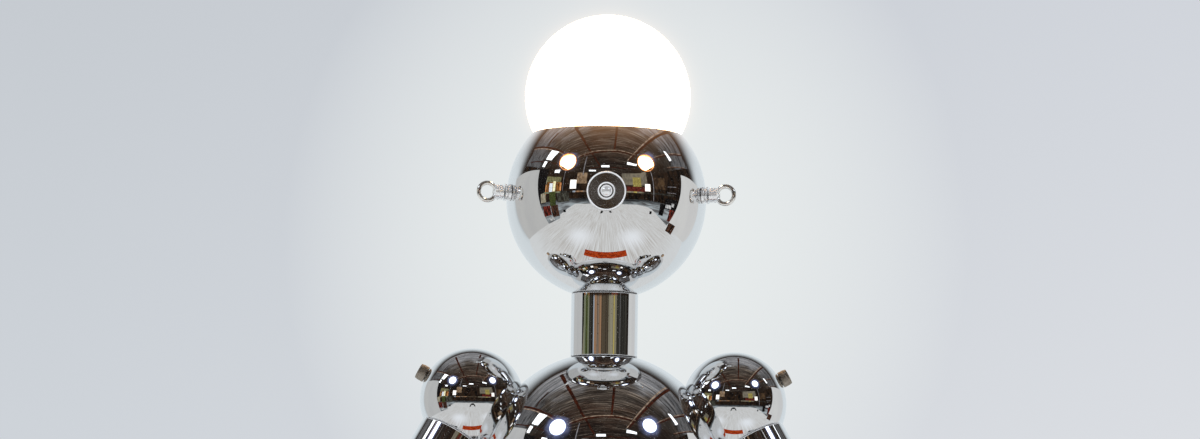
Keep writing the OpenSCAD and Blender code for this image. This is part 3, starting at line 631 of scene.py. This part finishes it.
def make_nose():
    """Mirror-faced knob with a beaded rim, and the ringed screw in its middle."""
    origin = Vector((0, 0, JOINTS["nose_switch"]["pos_m"][2]))
    axis = Vector((0, -1, 0))
    back, front, outer, bore = measure("nose_knob", origin, axis)
    bead = 0.65 * MM
    recess_r = outer - 2 * MM
    recess_top = back + 2.84 * MM
    face = front - 0.8 * MM
    outline = [(bore, recess_top), (recess_r, recess_top), (recess_r, back)]
    outline += rounded([(recess_r, back, 0), (outer, back, 0.5 * MM), (outer, front - bead, 0)])[1:]
    outline += arc((outer - bead, front - bead), bead, 0, 180, 14)[1:]
    outline += [(outer - 2 * bead, face), (outer - 2 * bead - 0.4 * MM, face), (bore, face)]
    place = pointing(axis, origin, "X")
    knob = piece("nose_knob_polished", shape([(*revolve(outline, 192, closed=True), place)]), "nose_knob", 50)
    refinish(knob, "turned_chrome", lambda at: face - 0.05 * MM < -at.y < face + 0.05 * MM)
    refinish(knob, "rim_chrome", lambda at: -at.y > front - 0.3 * bead)

    low, high, rim, _ = measure("nose_screw", origin, axis)
    collar, groove = 1.1 * MM, 1.0 * MM
    top = low + 2.2 * MM
    floor = top - 0.9 * MM
    inner = rim - collar - groove
    dome_low = top - 0.3 * MM
    dome_r = inner - 0.7 * MM
    rise = high - dome_low
    dome = (dome_r ** 2 + rise ** 2) / (2 * rise)
    opening = atan2(dome_r, dome - rise) * 180 / pi
    outline = [(0, low)] + rounded([(rim, low, 0.2 * MM), (rim, top, 0.55 * MM), (rim - collar, top, 0.55 * MM),
                                    (rim - collar, floor, 0.1 * MM), (inner, floor, 0.1 * MM),
                                    (inner, dome_low + 0.2 * MM, 0.25 * MM), (dome_r, dome_low, 0.05 * MM)], 5)
    outline += arc((0, high - dome), dome, 90 - opening, 90, 14)
    outline[-1] = (0, high)
    screw = piece("nose_screw_polished", shape([(*revolve(outline, 128), place)]), "nose_screw", 50)
    refinish(screw, "satin_nickel", lambda at: (at - origin).xz.length < dome_r)
    refinish(screw, "rim_chrome", lambda at: dome_r < (at - origin).xz.length < inner
             or (at - origin).xz.length > rim - collar)


# ---- studio


def stage(name, mesh, finish, seen=False):
    """Part of the studio. Unless it is seen, only the lamp's metal mirrors it."""
    obj = placed(name, mesh)
    mesh.materials.append(finish)
    if not seen:
        obj.visible_camera = obj.visible_diffuse = obj.visible_transmission = False
        obj.visible_shadow = obj.visible_volume_scatter = False
    return obj


def lamp_material(name):
    """Empty material for what only the metal mirrors."""
    made = bpy.data.materials.new(name)
    made.use_nodes = True
    made.cycles.emission_sampling = "NONE"
    made.node_tree.nodes.clear()
    return made, made.node_tree


def emitter(tree):
    return next(node for node in tree.nodes if node.type == "EMISSION")


def glow(name, colour, level=1.0, dark=None, stretch=(1, 1, 1), scale=1.0, low=0.35, high=0.65):
    """Emission. With dark, a stretched noise mixes the two colours."""
    made, tree = lamp_material(name)
    light = add(tree, "ShaderNodeEmission", {"Color": colour, "Strength": level})
    if dark is not None:
        mottle = fit(tree, noise(tree, place_of(tree, stretch), scale, 4, 0.6), low, high)
        drive(tree, light, color=blend(tree, mottle, dark, colour))
    drive(tree, add(tree, "ShaderNodeOutputMaterial"), surface=light.outputs[0])
    return made


def mottled(name, light, dark, size, stretch=(1, 1, 1), level=1.0, low=0.35, high=0.65):
    """Emission in two display colours, as bright as they are once the metal has mirrored them."""
    return glow(name, srgb(*light, MIRROR), level, srgb(*dark, MIRROR), stretch, size, low, high)


def sheet(*corners):
    """Flat sheet with one face."""
    return mesh_of("sheet", corners, [list(range(len(corners)))])


def ladder(name, points):
    """Strip of faces between points that come in pairs."""
    faces = [(k, k + 2, k + 3, k + 1) for k in range(0, len(points) - 2, 2)]
    return mesh_of(name, points, faces)


def level_oval(radius, steps):
    return [(radius * cos(a), radius * sin(a), 0) for a in (2 * pi * k / steps for k in range(steps))]


def towards(azimuth, elevation, distance):
    """Point seen from the head's centre. Azimuth 0 is the front, and plus is towards +X."""
    az, el = radians(azimuth), radians(elevation)
    return HEAD + distance * Vector((sin(az) * cos(el), -cos(az) * cos(el), sin(el)))


def patch(name, azimuths, elevations, finish, distance=6.0):
    """Sheet that covers a range of azimuths and elevations, as seen from the head's centre."""
    (az0, az1), (el0, el1) = azimuths, elevations
    columns = max(1, round(abs(az1 - az0) / 6))
    steps = [az0 + (az1 - az0) * k / columns for k in range(columns + 1)]
    points = [towards(az, el, distance) for az in steps for el in (el0, el1)]
    return stage(name, ladder(name, points), finish)


# The room that the metal mirrors
ROOM_X, ROOM_FRONT, ROOM_BACK = 8, -8.5, 6
CEILING_Z = 4.4
STRIP_LIGHT_Z = 4.28
ROOM_FLOOR_Z = -0.05


def level_sheet(z):
    """Sheet as large as the room."""
    return sheet((-ROOM_X, ROOM_FRONT, z), (ROOM_X, ROOM_FRONT, z), (ROOM_X, ROOM_BACK, z), (-ROOM_X, ROOM_BACK, z))


def ceiling_finish():
    """Brown boards that run across, with bright and dark streaks, darker towards the front and the sides."""
    made = glow("ceiling", rgb(0, 0, 0))
    tree = made.node_tree
    xyz = split(tree, place_of(tree))
    along = sums(tree, "ADD", xyz["Y"], uneven(tree, place_of(tree), 0.7, -0.5, 0.5, 2))
    colour = blend(tree, fit(tree, along, -4.8, -3.2), srgb(33, 25, 21, MIRROR), srgb(62, 48, 39, MIRROR))
    colour = blend(tree, fit(tree, along, -2.2, -0.7), colour, srgb(88, 79, 71, MIRROR))
    colour = blend(tree, fit(tree, along, -0.4, 0.9), colour, srgb(150, 150, 152, MIRROR))
    boards = noise(tree, place_of(tree, (0.20, 3.4, 1)), 1.7, 4, 0.8, 0.4)
    streaks = noise(tree, place_of(tree, (0.30, 6.0, 1)), 1.4, 4, 0.75, 0.3)
    lines = noise(tree, place_of(tree, (0.24, 15, 1)), 1.3, 3, 0.8, 0.2)
    colour = blend(tree, fit(tree, lines, 0.57, 0.63, 0.0, 0.50), colour, srgb(176, 160, 142, MIRROR))
    colour = blend(tree, fit(tree, streaks, 0.48, 0.40, 0.0, 0.85), colour, srgb(30, 22, 17, MIRROR))
    colour = blend(tree, fit(tree, lines, 0.46, 0.40, 0.0, 0.7), colour, srgb(24, 17, 14, MIRROR))
    side = fit(tree, sums(tree, "ABSOLUTE", xyz["X"]), 1.2, 4.8, 1.0, 0.42)
    drive(tree, emitter(tree), color=colour, strength=times(tree, fit(tree, boards, 0.38, 0.62, 0.5, 1.3), side))
    return made


def bar(name, points, width, z, finish):
    """Flat strip that follows points (x, y) at height z."""
    corners = []
    for k, point in enumerate(points):
        here = Vector(point)
        run = (Vector(points[min(k + 1, len(points) - 1)]) - Vector(points[max(k - 1, 0)])).normalized()
        across = Vector((-run.y, run.x)) * width / 2
        corners += [(*(here - across), z), (*(here + across), z)]
    return stage(name, ladder(name, corners), finish)


def make_ceiling():
    z = CEILING_Z
    stage("ceiling", level_sheet(z), ceiling_finish())
    beam = mottled("beam", (64, 28, 15), (34, 16, 9), 3)
    edge = mottled("beam_edge", (170, 148, 128), (84, 62, 46), 3)
    for number, (width, points) in enumerate((
            (0.17, ((-1.6, 2.4), (-1.57, 0.4), (-1.39, -2.3), (-0.84, -5.6))),
            (0.13, ((0.44, 2.4), (0.47, 0.1), (0.58, -2.9))),
            (0.19, ((2.9, 3.4), (2.84, 2.7), (2.53, -1.1), (2.26, -3.9))),
            (0.17, ((-2.6, -3.2), (-1.2, -3.02), (0.13, -2.95), (1.1, -2.84), (2.4, -2.85))),
            (0.19, ((-3.3, -2.4), (-3.49, -1.4), (-4.06, 0.8), (-4.6, 3.0))),
            (0.17, ((4.2, -2.2), (4.37, -1.05), (5.1, 2.0), (5.6, 4.1))),
            (0.15, ((-2.93, 3.2), (-3.9, 3.15), (-4.87, 3.03))),
            (0.11, ((-2.55, 1.12), (-3.87, 0.79))),
            (0.15, ((3.08, 3.27), (4.19, 3.9), (5.57, 3.75))),
            (0.16, ((-2.2, -5.9), (1.6, -5.93), (4.2, -5.4))),
            (0.18, ((-6.9, 2.9), (-5.4, -2.5))), (0.18, ((6.84, -0.97), (7.8, 3.24))))):
        bar(f"beam_{number}", points, width, z - 0.10, beam)
        if number in (2, 3, 4, 5, 11):
            bar(f"beam_edge_{number}", [(x, y + 0.17) if number == 3 else (x - 0.18, y) for x, y in points],
                0.09, z - 0.11, edge)


def make_walls():
    dark = mottled("wall", (46, 33, 23), (12, 10, 9), 1.6, (1, 1, 0.6))
    x, front, back = ROOM_X, ROOM_FRONT, ROOM_BACK
    for name, a, b in (("front", (-x, front), (x, front)), ("left", (-x, front), (-x, back)),
                       ("right", (x, front), (x, back)), ("back", (-x, back), (x, back))):
        stage("wall_" + name, sheet((*a, -0.5), (*b, -0.5), (*b, CEILING_Z), (*a, CEILING_Z)), dark)


def make_backdrop():
    """Pale sheet that sweeps up behind the lamp and darkens above and aside, and its two side panels."""
    finish = glow("backdrop", rgb(0, 0, 0))
    tree = finish.node_tree
    xyz = split(tree, own_place(tree))
    share = times(tree, fit(tree, xyz["Z"], 1.1, 2.2, 1.0, 0.0),
                  fit(tree, sums(tree, "ABSOLUTE", xyz["X"]), 1.3, 2.5, 1.0, 0.0))
    drive(tree, emitter(tree), color=blend(tree, share, srgb(44, 36, 31, MIRROR), rgb(0.74, 0.80, 0.83)))
    foot, back, rise = 0.95, 1.3, 0.7
    sweep = [(foot + (back - foot) * sin(pi / 2 * k / 8), rise * (1 - cos(pi / 2 * k / 8))) for k in range(9)]
    sweep.append((back, 2.3))
    points = [(x, y, z) for y, z in sweep for x in (-2.5, 2.5)]
    stage("backdrop", ladder("backdrop", points), finish)
    for name, level, corners in (
            ("left", 0.57, ((-1.5, -0.38, 0), (-1.5, -0.05, 1.351), (-1.5, 1.29, 1.17), (-1.5, 0.94, 0))),
            ("right", 0.72, ((1.5, -0.26, 0), (1.5, 0.224, 1.257), (1.5, 1.6, 1.02), (1.5, 1.25, 0)))):
        finish = glow("panel_" + name, rgb(level, level, level * 0.975), 1.0,
                      rgb(level * 0.93, level * 0.93, level * 0.92), (1, 1, 0.5), 2)
        stage("panel_" + name, sheet(*corners), finish)


def make_floor():
    """The floor that the camera sees, and the streaked platform and room floor that the metal mirrors."""
    made, tree, shader = material("floor")
    where = place_of(tree)
    drive(tree, shader, roughness=uneven(tree, where, 6, 0.55, 0.7),
          base_color=blend(tree, noise(tree, where, 1.2), rgb(0.78, 0.79, 0.80), rgb(0.82, 0.83, 0.84)))
    floor_r = 30
    stage("floor", sheet(*level_oval(floor_r, 96)), made, seen=True).visible_glossy = False

    platform = mottled("platform", (207, 209, 209), (162, 155, 148), 2.4, (46, 0.7, 1), 1.0, 0.30, 0.60)
    add_pools(platform, ((-0.46, -0.57), (0.47, -0.55)))
    outline = ((-1.5, 0.97), (-1.5, -0.4), (-1.43, -0.9), (-1.7, -1.13), (-1.97, -1.85), (-2.4, -3.3), (-0.02, -3.8),
               (2.4, -3.3), (2.71, -2.43), (2.58, -1.84), (1.94, -0.87), (1.65, -0.31), (1.5, 0.3), (1.5, 0.97))
    stage("platform", sheet(*((x, y, 0) for x, y in outline)), platform)
    room = mottled("room_floor", (90, 95, 97), (44, 43, 43), 1.2, (1, 0.6, 1))
    tree = room.node_tree
    xyz = split(tree, own_place(tree))
    sheen = times(tree, fit(tree, xyz["Y"], -6.5, -2.6),
                  fit(tree, sums(tree, "ABSOLUTE", xyz["X"]), 3.0, 7.0, 1.0, 0.3))
    drive(tree, emitter(tree), strength=fit(tree, sheen, 0.0, 1.0, 0.45, 3.4, smooth=False))
    stage("room_floor", level_sheet(ROOM_FLOOR_Z), room)
    corners = ((-0.27, -0.315, 0.004), (0.27, -0.315, 0.004), (0.265, -0.20, 0.004), (-0.265, -0.20, 0.004))
    stage("strip", sheet(*corners), mottled("strip", (172, 66, 26), (120, 36, 12), 30))


def add_pools(made, centres):
    """Soft bluish pools of lamp light on the platform."""
    tree = made.node_tree
    light = emitter(tree)
    where = own_place(tree)
    colour = light.inputs["Color"].links[0].from_socket
    # the streaks fade behind the lamp, where the metal mirrors them edge on
    behind = fit(tree, split(tree, where)["Y"], -0.2, 0.5, 0.0, 0.85)
    colour = blend(tree, behind, colour, srgb(204, 207, 208, MIRROR))
    for x, y in centres:
        away = vector(tree, "DISTANCE", where, (x, y, 0), "Value")
        colour = blend(tree, fit(tree, away, 0.0, 0.40, 0.70, 0.0), colour, rgb(1.0, 1.04, 1.09))
    drive(tree, light, color=colour)


def studio_lamp(name, azimuth, elevation, size):
    """Oval lamp that faces the head, its long way pointing away from the view, with a faint blue halo."""
    made, tree = lamp_material("studio_lamp_" + name)
    where = own_place(tree)
    away = length(tree, where)
    core = fit(tree, away, 0.46, 0.56, 3.5, 0.0)
    halo = times(tree, fit(tree, away, 0.40, 1.0, 0.36, 0.0), uneven(tree, where, 2.2, 0.4, 1.5))
    colour = blend(tree, fit(tree, away, 0.46, 0.56), rgb(0.86, 0.93, 1.0), rgb(0.36, 0.46, 0.90))
    light = add(tree, "ShaderNodeEmission", {"Color": colour, "Strength": sums(tree, "ADD", core, halo)})
    through = add(tree, "ShaderNodeBsdfTransparent")
    both = add(tree, "ShaderNodeAddShader", {0: light.outputs[0], 1: through.outputs[0]})
    drive(tree, add(tree, "ShaderNodeOutputMaterial"), surface=both.outputs[0])
    distance = 5.0
    centre = towards(azimuth, elevation, distance)
    facing = (HEAD - centre).normalized()
    front = Vector((0, 1, 0))
    outward = (front - facing * front.dot(facing)).normalized()
    obj = stage("studio_lamp_" + name, sheet(*level_oval(1, 48)), made)
    turn = Matrix((outward, facing.cross(outward), facing)).transposed().to_4x4()
    obj.matrix_world = Matrix.Translation(centre) @ turn @ Matrix.Diagonal((size[0], size[1], 1, 1))


def make_lamps():
    """The two studio lamps, and the strip lights under the ceiling."""
    studio_lamp("left", -52.6, 36.0, (1.40, 1.20))
    studio_lamp("right", 56.5, 38.2, (1.19, 1.02))
    white = glow("strip_light", rgb(0.95, 0.98, 1.0), 2.2)
    for number, corners in enumerate((
            ((-5.54, -0.24), (-5.29, -1.1), (-3.71, -1.02), (-4.04, -0.12)),
            ((-7.22, -0.25), (-7.14, -0.77), (-5.80, -0.70), (-5.85, -0.23)),
            ((4.01, 0.11), (4.2, 0.36), (5.6, 0.5), (5.6, 0.09)),
            ((2.16, -4.17), (3.24, -4.15), (3.44, -4.5), (2.3, -4.7)),
            ((-0.65, -5.41), (0.31, -5.41), (0.34, -5.9), (-0.7, -5.9)))):
        stage(f"strip_light_{number}", sheet(*((x, y, STRIP_LIGHT_Z) for x, y in corners)), white)
    patch("strip_light_low_left", (-65.6, -59), (22.6, 25.4), white)
    patch("strip_light_low", (-21.7, -13.2), (26, 27.5), white)


def make_room():
    """What stands along the walls of the room, as far as the metal shows it."""
    even, drop = (1, 1, 1), (1, 1, 0.3)
    finishes = {
        "lamp_spot": glow("lamp_spot", rgb(1.0, 0.95, 0.88), 1.8),
        "pale": mottled("pale", (206, 206, 204), (130, 130, 132), 14)}
    for name, light, dark, size, stretch, level in (
            ("olive", (128, 124, 88), (84, 80, 54), 6, even, 1), ("timber", (150, 98, 44), (62, 38, 20), 9, drop, 1),
            ("cloth", (166, 158, 138), (120, 112, 92), 8, (1, 1, 0.2), 1),
            ("cool_day", (238, 244, 250), (196, 206, 214), 9, even, 1.1),
            ("warm_day", (250, 248, 212), (214, 206, 150), 9, even, 1.1),
            ("amber", (222, 160, 104), (176, 104, 56), 6, even, 1), ("line", (150, 148, 150), (96, 94, 98), 9, even, 1),
            ("leaves", (84, 92, 48), (18, 26, 16), 22, even, 1), ("black", (26, 24, 24), (10, 10, 10), 6, even, 1),
            ("maroon", (112, 44, 34), (40, 20, 17), 14, drop, 1), ("walnut", (74, 48, 36), (24, 20, 17), 14, drop, 1),
            ("beige", (150, 126, 100), (104, 84, 64), 3, even, 1), ("grey", (122, 114, 98), (98, 92, 80), 2, even, 1),
            ("yellow", (178, 164, 92), (96, 84, 40), 12, even, 1), ("brown", (78, 60, 42), (44, 32, 23), 3, even, 1),
            ("haze", (74, 74, 66), (36, 32, 26), 7, drop, 1)):
        finishes[name] = mottled(name, light, dark, size, stretch, level, 0.40, 0.60)
    for name, finish, azimuths, elevations, distance in (
            ("wall_post", "black", (-89, -74), (-6, 25), 6.6), ("curtain", "cloth", (-80.5, -73.3), (-5, 16), 6.5),
            ("glow", "amber", (-75.2, -72.8), (2, 11), 6.4), ("lintel", "olive", (-74.7, -54.4), (13.2, 18.6), 6.5),
            ("window_frame", "timber", (-72, -53.5), (2.7, 13.4), 6.45),
            ("pane_left", "cool_day", (-68.9, -64.6), (3.5, 12.3), 6.4),
            ("pane_right", "warm_day", (-64, -60.8), (4.5, 14.3), 6.4),
            ("warm_spot", "amber", (-55.2, -53.2), (5, 13), 6.4), ("dark_post", "black", (-53.3, -50.8), (3, 15), 6.3),
            ("haze", "haze", (-58, -43), (-7, 2.5), 5.6), ("plant", "leaves", (-68, -60), (-9, 4), 4.4),
            ("cabinet_left", "maroon", (-78.2, -67.6), (-17.5, -8.5), 2.3),
            ("cabinet_right", "walnut", (-66.6, -57.2), (-20, -9), 2.02),
            ("cloth_low", "pale", (-71.5, -65.5), (-22.6, -19.5), 1.8),
            ("thing_left", "black", (-51.6, -48.4), (-17.5, -14.8), 2.3),
            ("line_left", "line", (-51.4, -50.9), (5, 24), 6.2),
            ("spot_left", "lamp_spot", (-42.5, -35), (6.5, 16), 6.1),
            ("board_left", "beige", (-35, -23), (12, 24), 6.2), ("board_right", "grey", (18, 48), (11, 24), 6.2),
            ("picture", "yellow", (30.5, 40.5), (9.5, 19.5), 6.1),
            ("spot_right", "lamp_spot", (45, 51.5), (5.2, 12.6), 6.0), ("sofa", "maroon", (23, 45), (4.2, 9.3), 6.1),
            ("wall_right", "brown", (57, 72), (8, 19), 6.2), ("line_right", "line", (55.3, 56.0), (-4, 28), 6.0),
            ("shelf_high", "line", (75, 88), (10.6, 11.0), 6.0), ("shelf_low", "line", (74, 87), (5.2, 5.6), 6.0),
            ("chair_black", "black", (64.4, 70.8), (-16.4, -5.6), 2.45),
            ("chair_white", "pale", (72, 80), (-8.6, -5.4), 2.4), ("chair_back", "pale", (80, 84), (-6.4, -3.4), 2.4),
            ("chair_legs", "maroon", (78.5, 86.8), (-19.2, -9.0), 2.1),
            ("chair_side", "black", (70.8, 90), (-9.5, 0), 4.0),
            ("bag", "walnut", (82, 94), (-27.5, -19.8), 1.35), ("pole", "line", (-28.6, -27.6), (21, 45), 5.5),
            ("thing_right", "black", (52.3, 55.2), (-17.6, -14.6), 2.28)):
        patch(name, azimuths, elevations, finishes[finish], distance)
    # a low row of things, which the neck stretches into stripes
    for number, (start, end, light, dark) in enumerate((
            (-76, -54, (118, 122, 100), (96, 100, 80)), (-54, -39, (70, 68, 60), (22, 22, 22)),
            (-39, -35.5, (168, 178, 188), (140, 150, 160)), (-35.5, -27, (160, 122, 90), (120, 92, 70)),
            (-27, -20, (128, 116, 104), (90, 74, 60)), (-20, -10, (152, 116, 86), (118, 96, 76)),
            (-10, 14, (80, 70, 56), (46, 40, 32)), (14, 31, (138, 132, 112), (116, 110, 92)),
            (31, 35, (184, 170, 96), (160, 144, 80)), (35, 43, (128, 122, 102), (100, 96, 80)),
            (43, 84, (62, 60, 54), (34, 33, 30)))):
        name = f"row_{number}"
        patch(name, (start, end), (2.7, 4.2), mottled(name, light, dark, 3.5, (1, 1, 0.1), 1.0, 0.42, 0.58), 5.9)


def make_camera_stand():
    """The camera on its tripod, which each ball shows small in its middle."""
    black = mottled("stand", (22, 18, 18), (8, 8, 8), 9)
    y = -1.7
    for name, corners in (("body", ((-0.10, 0.16), (0.10, 0.16), (0.08, 0.27), (-0.08, 0.27))),
                          ("leg_left", ((-0.22, 0.02), (-0.13, 0.05), (-0.06, 0.22), (-0.13, 0.22))),
                          ("leg_right", ((0.12, 0.07), (0.20, 0.05), (0.13, 0.22), (0.06, 0.22)))):
        stage("stand_" + name, sheet(*((x, y, z) for x, z in corners)), black)


def make_world():
    """Pale grey all round, with a painted pool of light that makes it a little brighter behind the lamp."""
    world = bpy.data.worlds.new("studio")
    bpy.context.scene.world = world
    world.use_nodes = True
    tree = world.node_tree
    xyz = split(tree, add(tree, "ShaderNodeTexCoord").outputs["Generated"])
    aside = sums(tree, "ARCTAN2", xyz["X"], xyz["Y"])
    above = sums(tree, "ARCSINE", xyz["Z"])
    off = []
    for value, middle, reach in ((aside, 0.005, 0.080), (above, 0.099, 0.090)):
        share = sums(tree, "DIVIDE", sums(tree, "SUBTRACT", value, middle), reach)
        off.append(times(tree, share, share))
    near = fit(tree, sums(tree, "ADD", *off), 0.05, 1.15, 1.0, 0.0, smooth=False)
    across = fit(tree, aside, radians(-8), radians(8), smooth=False)
    down = fit(tree, above, 0.17, 0.05, smooth=False)
    left = blend(tree, down, srgb(197, 202, 208), srgb(206, 211, 217))
    plain = blend(tree, across, left, blend(tree, down, srgb(208, 212, 219), srgb(218, 221, 226)))
    colour = blend(tree, near, plain, srgb(232, 236, 236))
    drive(tree, tree.nodes["Background"], color=colour)


def make_lights():
    """Soft light for what isn't mirror bright. The metal mirrors the studio lamps instead."""
    body_middle = Vector((0, 0, 0.4))
    for name, azimuth, elevation, power in (("key", -51, 40, 26), ("fill", 54, 40, 20)):
        light = bpy.data.lights.new(name, "AREA")
        light.shape = "DISK"
        light.size = 1.2
        light.energy = power
        light.color = (0.97, 0.98, 1.0)
        obj = placed(name, light)
        obj.location = towards(azimuth, elevation, 2.4)
        obj.rotation_euler = (obj.location - body_middle).to_track_quat("Z", "Y").to_euler()
        obj.visible_glossy = False
    # what the metal mirrors of the lit bulb: a little smaller and set back, so that the rim stays dark
    frame["nodes"]["bulb_globe"].visible_glossy = False
    radius = 54 * MM
    light = bpy.data.lights.new("bulb", "POINT")
    light.shadow_soft_size = radius
    light.energy = GLASS_LEVEL * 4 * (pi * radius) ** 2
    light.color = GLASS_COLOUR
    obj = placed("bulb", light)
    obj.location = GLOBE + Vector((0, 4 * MM, 0))
    obj.visible_camera = obj.visible_diffuse = obj.visible_transmission = obj.visible_volume_scatter = False


def make_camera():
    camera = bpy.data.cameras.new("camera")
    camera.sensor_width = 36
    camera.lens = FOCAL_PX * camera.sensor_width / PHOTO_SIZE[0]
    obj = placed("camera", camera)
    bpy.context.scene.camera = obj
    to_head = HEAD - CAMERA_AT
    heading = atan2(to_head.x, to_head.y) - atan((HEAD_PX[0] - PHOTO_SIZE[0] / 2) / FOCAL_PX)
    rise = atan2(to_head.z, to_head.y) - atan((PHOTO_SIZE[1] / 2 - HEAD_PX[1]) / FOCAL_PX)
    aim = Vector((sin(heading) * cos(rise), cos(heading) * cos(rise), sin(rise)))
    turn = aim.to_track_quat("-Z", "Y").to_matrix().to_4x4()
    obj.matrix_world = Matrix.Translation(CAMERA_AT) @ turn @ Matrix.Rotation(CAMERA_ROLL, 4, "Z")


def make_glare():
    """Bloom round the lit bulb."""
    scene = bpy.context.scene
    scene.view_settings.view_transform = "Standard"
    scene.use_nodes = True
    tree = scene.node_tree
    tree.nodes.clear()
    layer = tree.nodes.new("CompositorNodeRLayers")
    glare = add(tree, "CompositorNodeGlare", {"Threshold": 1.5, "Strength": 0.045, "Size": 0.14, "Maximum": 12.0,
                                              "Clamp": True}, glare_type="BLOOM")
    out = tree.nodes.new("CompositorNodeComposite")
    tree.links.new(layer.outputs["Image"], glare.inputs["Image"])
    tree.links.new(glare.outputs["Image"], out.inputs["Image"])


dress_nodes()
make_tubes()
make_thumb_nuts()
make_ears()
make_nose()
make_ceiling()
make_walls()
make_backdrop()
make_floor()
make_lamps()
make_room()
make_camera_stand()
make_world()
make_lights()
make_camera()
make_glare()
